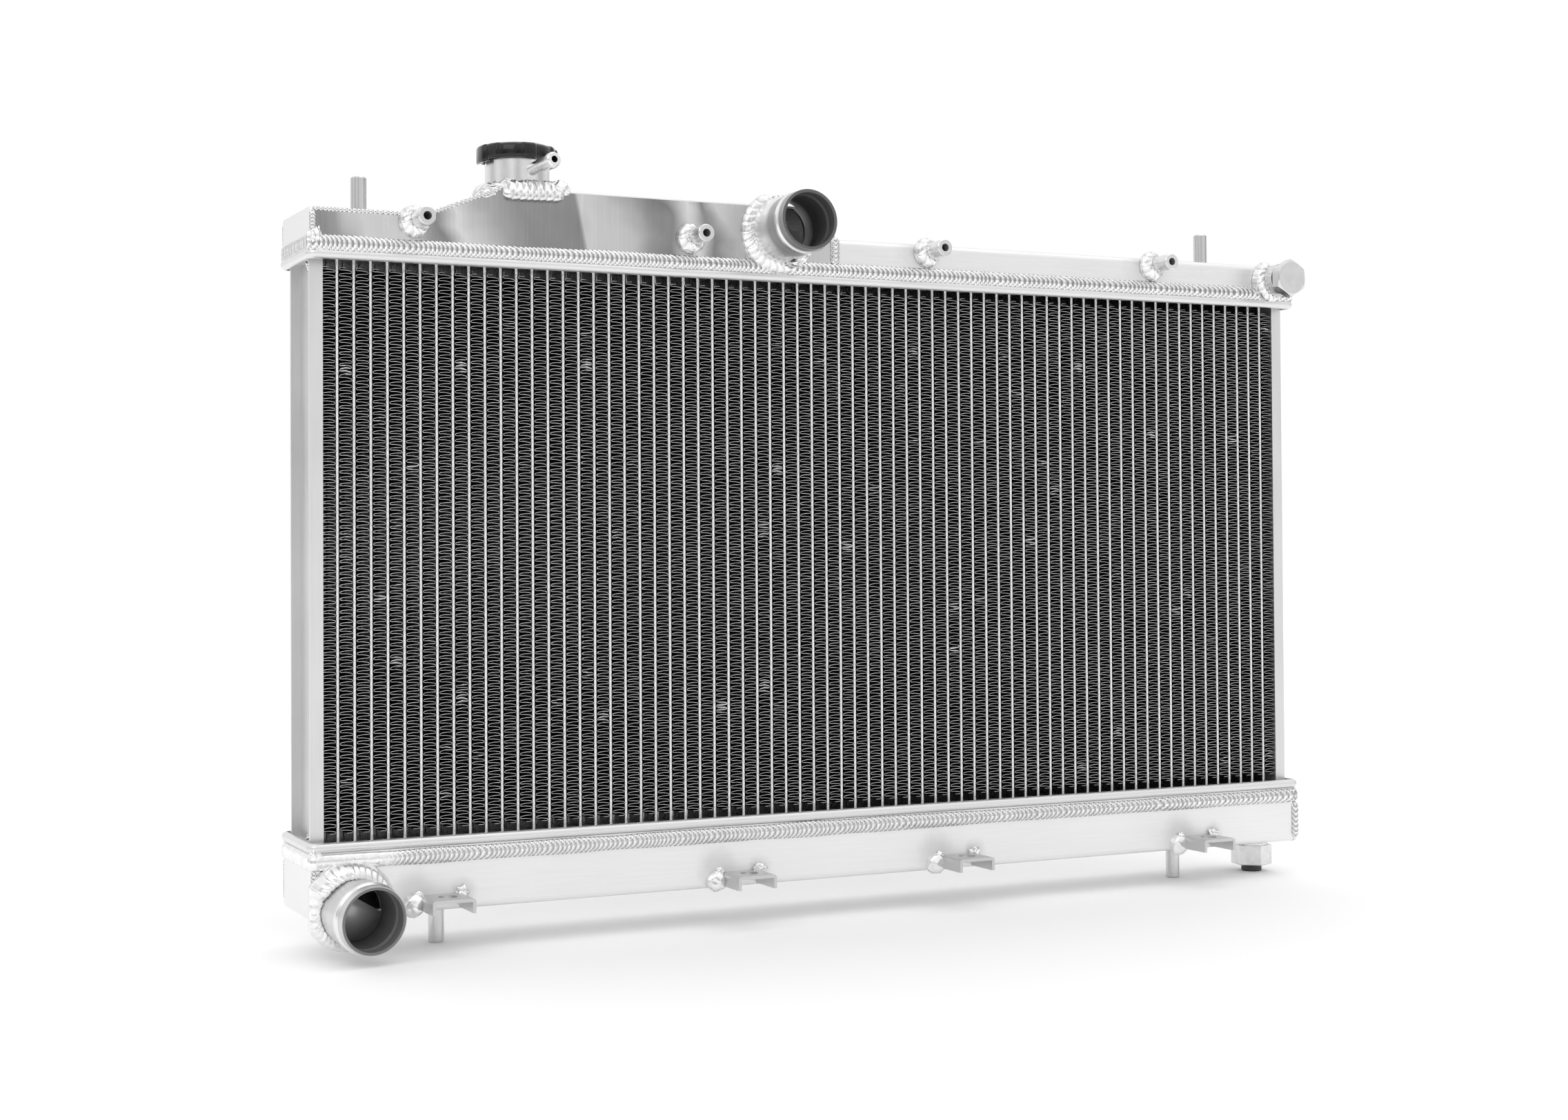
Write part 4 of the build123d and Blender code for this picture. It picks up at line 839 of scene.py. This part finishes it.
boss_beads = []
for number, (x, y, z) in enumerate(boss_spots):
    root = (x, tank_low.y, z)
    ring = ringed(root, (0, -1, 0), 0.0052, 40, 400, 0.0034)
    size = swelling(ring, 0.0022, 0.0070, 212)
    boss_beads.append(lay_bead(ring, size, size, 0.0034, span=(0, 90), crescent=1.2, depth=0.18,
                               seed=50 + number))
make_piece("boss_fillets", boss_beads, [weld_metal], "weld_bead", ["boss_welds"])

bleed_low, bleed_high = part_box("bleed_boss")
bleed_mid = (bleed_low + bleed_high) / 2
ring = ringed((bleed_mid.x, tank_low.y, bleed_mid.z), (0, -1, 0), 0.0108, 100, 370, 0.0036)
size = swelling(ring, 0.0025, 0.0056, 200)
plug_beads = [lay_bead(ring, size, size * 1.5, 0.0036, span=(0, 90), crescent=0.8, depth=0.18, seed=61)]
drain_low, drain_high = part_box("drain_boss")
drain_mid = (drain_low + drain_high) / 2
ring = ringed((drain_mid.x, drain_mid.y, drain_high.z), (0, 0, -1), 0.0114, 0, 360, 0.003)
plug_beads.append(lay_bead(ring, 0.003, 0.0034, 0.003, span=(0, 90), seed=62))
make_piece("plug_fillets", plug_beads, [weld_metal], "weld_bead", ["plug_boss_welds"])

# %% [markdown]
# ## Drops beside the brackets
# The brackets were tacked with one round puddle at the left and a crumb at the right.
# A ball pushed about by noise gives both; low noise makes the puddle and high noise
# makes the crumb.

# %% Bracket drops and the side plates' tacks
drops = []
HALF_BRACKET = 0.013
for number, (x, y, z) in enumerate(hole_spots):
    drops.append(blob((x - HALF_BRACKET - 0.0035, WALL_Y - 0.0008, z - 0.0045), (0.0066, 0.0052, 0.0068),
                      number + 1, 0.16))
    drops.append(blob((x - HALF_BRACKET - 0.001, WALL_Y - 0.0005, z + 0.0012), (0.0030, 0.0022, 0.0024),
                      number + 11, 0.5))
    drops.append(blob((x + HALF_BRACKET - 0.0005, WALL_Y - 0.0015, z + 0.0012), (0.0036, 0.0036, 0.0034),
                      number + 21, 0.7))
make_piece("bracket_drops", drops, [weld_metal], "weld_bead", ["bracket_welds"])

tack_beads = []
TACK_Y = 0.008
for low, high in (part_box("left_side_plate"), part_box("right_side_plate")):
    side = 1 if low.x > 0 else -1
    inner = side * (min(abs(low.x), abs(high.x)) + 0.0022)
    for z, way in ((low.z, 1), (high.z, -1)):
        path = straight((inner + side * 0.001, TACK_Y, z + way * 0.011),
                        (inner + side * 0.0045, TACK_Y, z + way * 0.0012), (0, 1, 0), (side, 0, 0), 0.002)
        tack_beads.append(lay_bead(path, 0.0016, 0.0016, 0.002, span=(0, 360), seed=int(z * 100) + 7))
make_piece("side_tacks", tack_beads, [weld_metal], "weld_bead", ["side_plate_tacks"])

# %% [markdown]
# ## Folded fins
# Between two tubes runs one long strip of thin sheet, folded to and fro about ninety
# times. In side view the fold is a rounded zigzag that touches a tube at every turn.
# It could be an array modifier on one fold, but real strips wander: their pitch drifts, and careless hands
# leave bent spots that flash in the light. So each strip is computed from its own random numbers, as a thin
# sheet with a front edge, a back edge and sides. At the bent spots the sheet is bent, and its side faces near
# the front also take the bright edge finish, a painted glint.

# %% Fold the strips
core_low, core_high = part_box("fin_strips")
STRIPS, FOLD = 69, 0.0035
PITCH_X = 0.010
STRIP_HALF = 0.00392
SHEET = 0.00021
LIP = 0.0016
SAMPLES = 8
LEG_FLATNESS = 0.058
ARCH = 0.00035
folds = int((core_high.z - core_low.z) / FOLD)
first_x = -(STRIPS - 1) / 2 * PITCH_X


def fold_strip(number):
    """One strip: its points, faces and a finish number for each face."""
    dice = np.random.default_rng(700 + number)
    turn = np.arange(folds * SAMPLES + 1) / SAMPLES
    drift = np.array([noise.noise(Vector((t * 0.13, number * 4.1, 0.0))) for t in turn])
    quiver = np.array([noise.noise(Vector((t * 0.9, number * 2.3, 9.0))) for t in turn])
    phase = 2 * math.pi * turn
    swing = np.sign(np.sin(phase)) * np.abs(np.sin(phase)) ** 0.62
    x = first_x + number * PITCH_X + STRIP_HALF * swing * (1 - 0.06 * np.abs(quiver))
    z = core_low.z + FOLD * (turn - LEG_FLATNESS * np.sin(2 * phase) + 0.45 * drift + 0.07 * quiver)
    z = core_low.z + (z - z[0]) * (core_high.z - core_low.z) / (z[-1] - z[0])
    z = np.minimum(z + ARCH * (1 - swing ** 2), core_high.z)
    bent = np.zeros(len(turn))
    for _ in range(dice.poisson(1.6 if number < 10 else 0.7)):
        spot, reach = dice.uniform(2, folds - 2), dice.uniform(0.5, 1.6)
        bent += dice.choice((-1, 1)) * dice.uniform(0.5, 1.3) * np.exp(-((turn - spot) / reach) ** 2)
    bent = np.clip(bent, -1.3, 1.3)
    heading = np.stack([np.gradient(x), np.gradient(z)], axis=1)
    heading /= np.linalg.norm(heading, axis=1)[:, None]
    normal = np.stack([heading[:, 1], -heading[:, 0]], axis=1) * SHEET / 2
    lip_share = 1 - np.abs(swing) ** 4
    loop = []
    for depth, bend in ((core_low.y, 1.0), (core_low.y + LIP, 0.0), (core_high.y, 0.0)):
        for way in (1, -1):
            push = bend * bent * lip_share
            loop.append(np.stack([x + way * normal[:, 0], np.full(len(x), depth),
                                  z + way * normal[:, 1] + push * 0.0009], axis=1))
    order = [0, 2, 4, 5, 3, 1]
    points = np.stack([loop[i] for i in order], axis=1)
    faces = hoop_faces(len(turn), len(order), False)
    # Where a fin is bent near the front, its side faces there take the bright edge finish in place of the
    # painted shade: a painted glint.
    painted_glint = np.abs(bent[:-1] * lip_share[:-1]) > 0.45
    paint = np.zeros((len(turn) - 1, len(order)), int)
    paint[:, 2] = 1
    paint[:, 5] = 1
    paint[painted_glint, 0] = 1
    paint[painted_glint, 4] = 1
    return points.reshape(-1, 3), faces, np.concatenate([paint.ravel(), [0, 0]])


GROUPS = 4
for group in range(GROUPS):
    strips = [fold_strip(n) for n in range(group * STRIPS // GROUPS, (group + 1) * STRIPS // GROUPS)]
    make_piece(f"folded_fins_{group + 1}", [(p, f) for p, f, _ in strips], [fin_dark, fin_edge], "fin_stock",
               ["fin_strips"], face_finish=np.concatenate([paint for _, _, paint in strips]))

# %% [markdown]
# ## The cap's cover
# A pressure cap has a shallow dome, a skirt with grip lugs, and two ears for the palm.
# Turning a profile gives the dome; letting the radius and the skirt's foot depend on the
# bearing raises the lugs and ears from the same skin, with no seams between them.

# %% Mould the cap
cap_low, cap_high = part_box("cap_cover")
cap_axis = ((cap_low.x + cap_high.x) / 2, (cap_low.y + cap_high.y) / 2)
BEARINGS = 288
LUGS = 6


def bulge(bearing, middle, half, edge=0.14):
    """1 inside a lug's width, 0 outside, with rounded flanks; angles in degrees."""
    away = abs((bearing - middle + 180) % 360 - 180) / half
    return min(1.0, max(0.0, (1 + edge - away) / (2 * edge)))


def cap_section(bearing):
    """Radius and height pairs of the cover's section at one bearing, inner side last."""
    ear = max(bulge(bearing, 0, 17), bulge(bearing, 180, 17))
    lug = max(bulge(bearing, 30 + 60 * n, 11) for n in range(LUGS))
    skirt = 0.0224 + 0.0011 * lug + 0.0026 * ear
    foot = cap_low.z + 0.0017 * (1 - ear)
    top = cap_high.z
    crown = top - 0.0009 + 0.0003 * lug
    return [(0.0001, top - 0.0012), (0.006, top - 0.0012), (0.0068, top - 0.0006), (0.0150, top - 0.0003),
            (0.0162, top), (0.0195, top), (skirt - 0.0016, crown), (skirt - 0.0005, crown - 0.0006),
            (skirt, crown - 0.0018), (skirt, foot + 0.0010), (skirt - 0.0003, foot + 0.0002),
            (skirt - 0.0008, foot), (0.0218 + 0.0008 * ear, foot + 0.0003), (0.0218, foot + 0.003),
            (0.0218, top - 0.0030), (0.0205, top - 0.0026), (0.0001, top - 0.0026)]


rows = []
for step in range(BEARINGS):
    bearing = 360 * step / BEARINGS
    a = math.radians(bearing)
    rows.append([(cap_axis[0] + r * math.cos(a), cap_axis[1] + r * math.sin(a), z)
                 for r, z in cap_section(bearing)])
cap_points = np.array(rows)
cover = (cap_points.reshape(-1, 3), hoop_faces(BEARINGS, cap_points.shape[1], True))
make_piece("moulded_cap", [cover], [cap_black], "cap_black", ["cap_cover"], body="cap")

# %% [markdown]
# ## Springs in the cap
# Two springs sit in the cap, and each is pressed when its valve moves. A spring is a round wire along a
# helix, with its end turns lying close. Each coil is built where its solid stands and is tied to no body, so
# it stays rigid and would cut through the valve when the valve moves.

# %% Wind the springs
WIRE_COLUMNS, TURN_SAMPLES = 12, 40


def coil(node, wire, turns=6):
    """Points and faces of a spring that fills a node's box, with one close turn at each end."""
    low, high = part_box(node)
    radius = (high.x - low.x - wire) / 2
    middle = ((low.x + high.x) / 2, (low.y + high.y) / 2)
    turn = np.linspace(0, turns, turns * TURN_SAMPLES + 1)
    lowest, highest = low.z + wire * 0.52, high.z - wire * 0.52
    climb = (highest - lowest - 2.04 * wire) / (turns - 2)
    level = np.interp(turn, [0, 1, turns - 1, turns],
                      [lowest, lowest + 1.02 * wire, lowest + 1.02 * wire + climb * (turns - 2), highest])
    section = np.linspace(0, 2 * math.pi, WIRE_COLUMNS, endpoint=False)
    around, wire_turn = np.meshgrid(2 * math.pi * turn, section, indexing="ij")
    out = radius + wire / 2 * np.cos(wire_turn)
    points = np.stack([middle[0] + out * np.cos(around), middle[1] + out * np.sin(around),
                       level[:, None] + wire / 2 * np.sin(wire_turn)], axis=2)
    return points.reshape(-1, 3), hoop_faces(len(turn), WIRE_COLUMNS, False)


for name, node, wire, bottom_body, top_body in (
        ("main_spring_coil", "pressure_spring", 0.0016, "pressure_valve", "cap_valve_set"),
        ("vacuum_spring_coil", "vacuum_spring", 0.0004, "pressure_valve", "vacuum_valve")):
    low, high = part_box(node)
    foot = ((low.x + high.x) / 2, (low.y + high.y) / 2, low.z + wire)
    head = (foot[0], foot[1], high.z - wire)
    make_piece(name, [coil(node, wire)], [spring_steel], "cap_steel", [node],
               body=(bottom_body, top_body, foot, head))
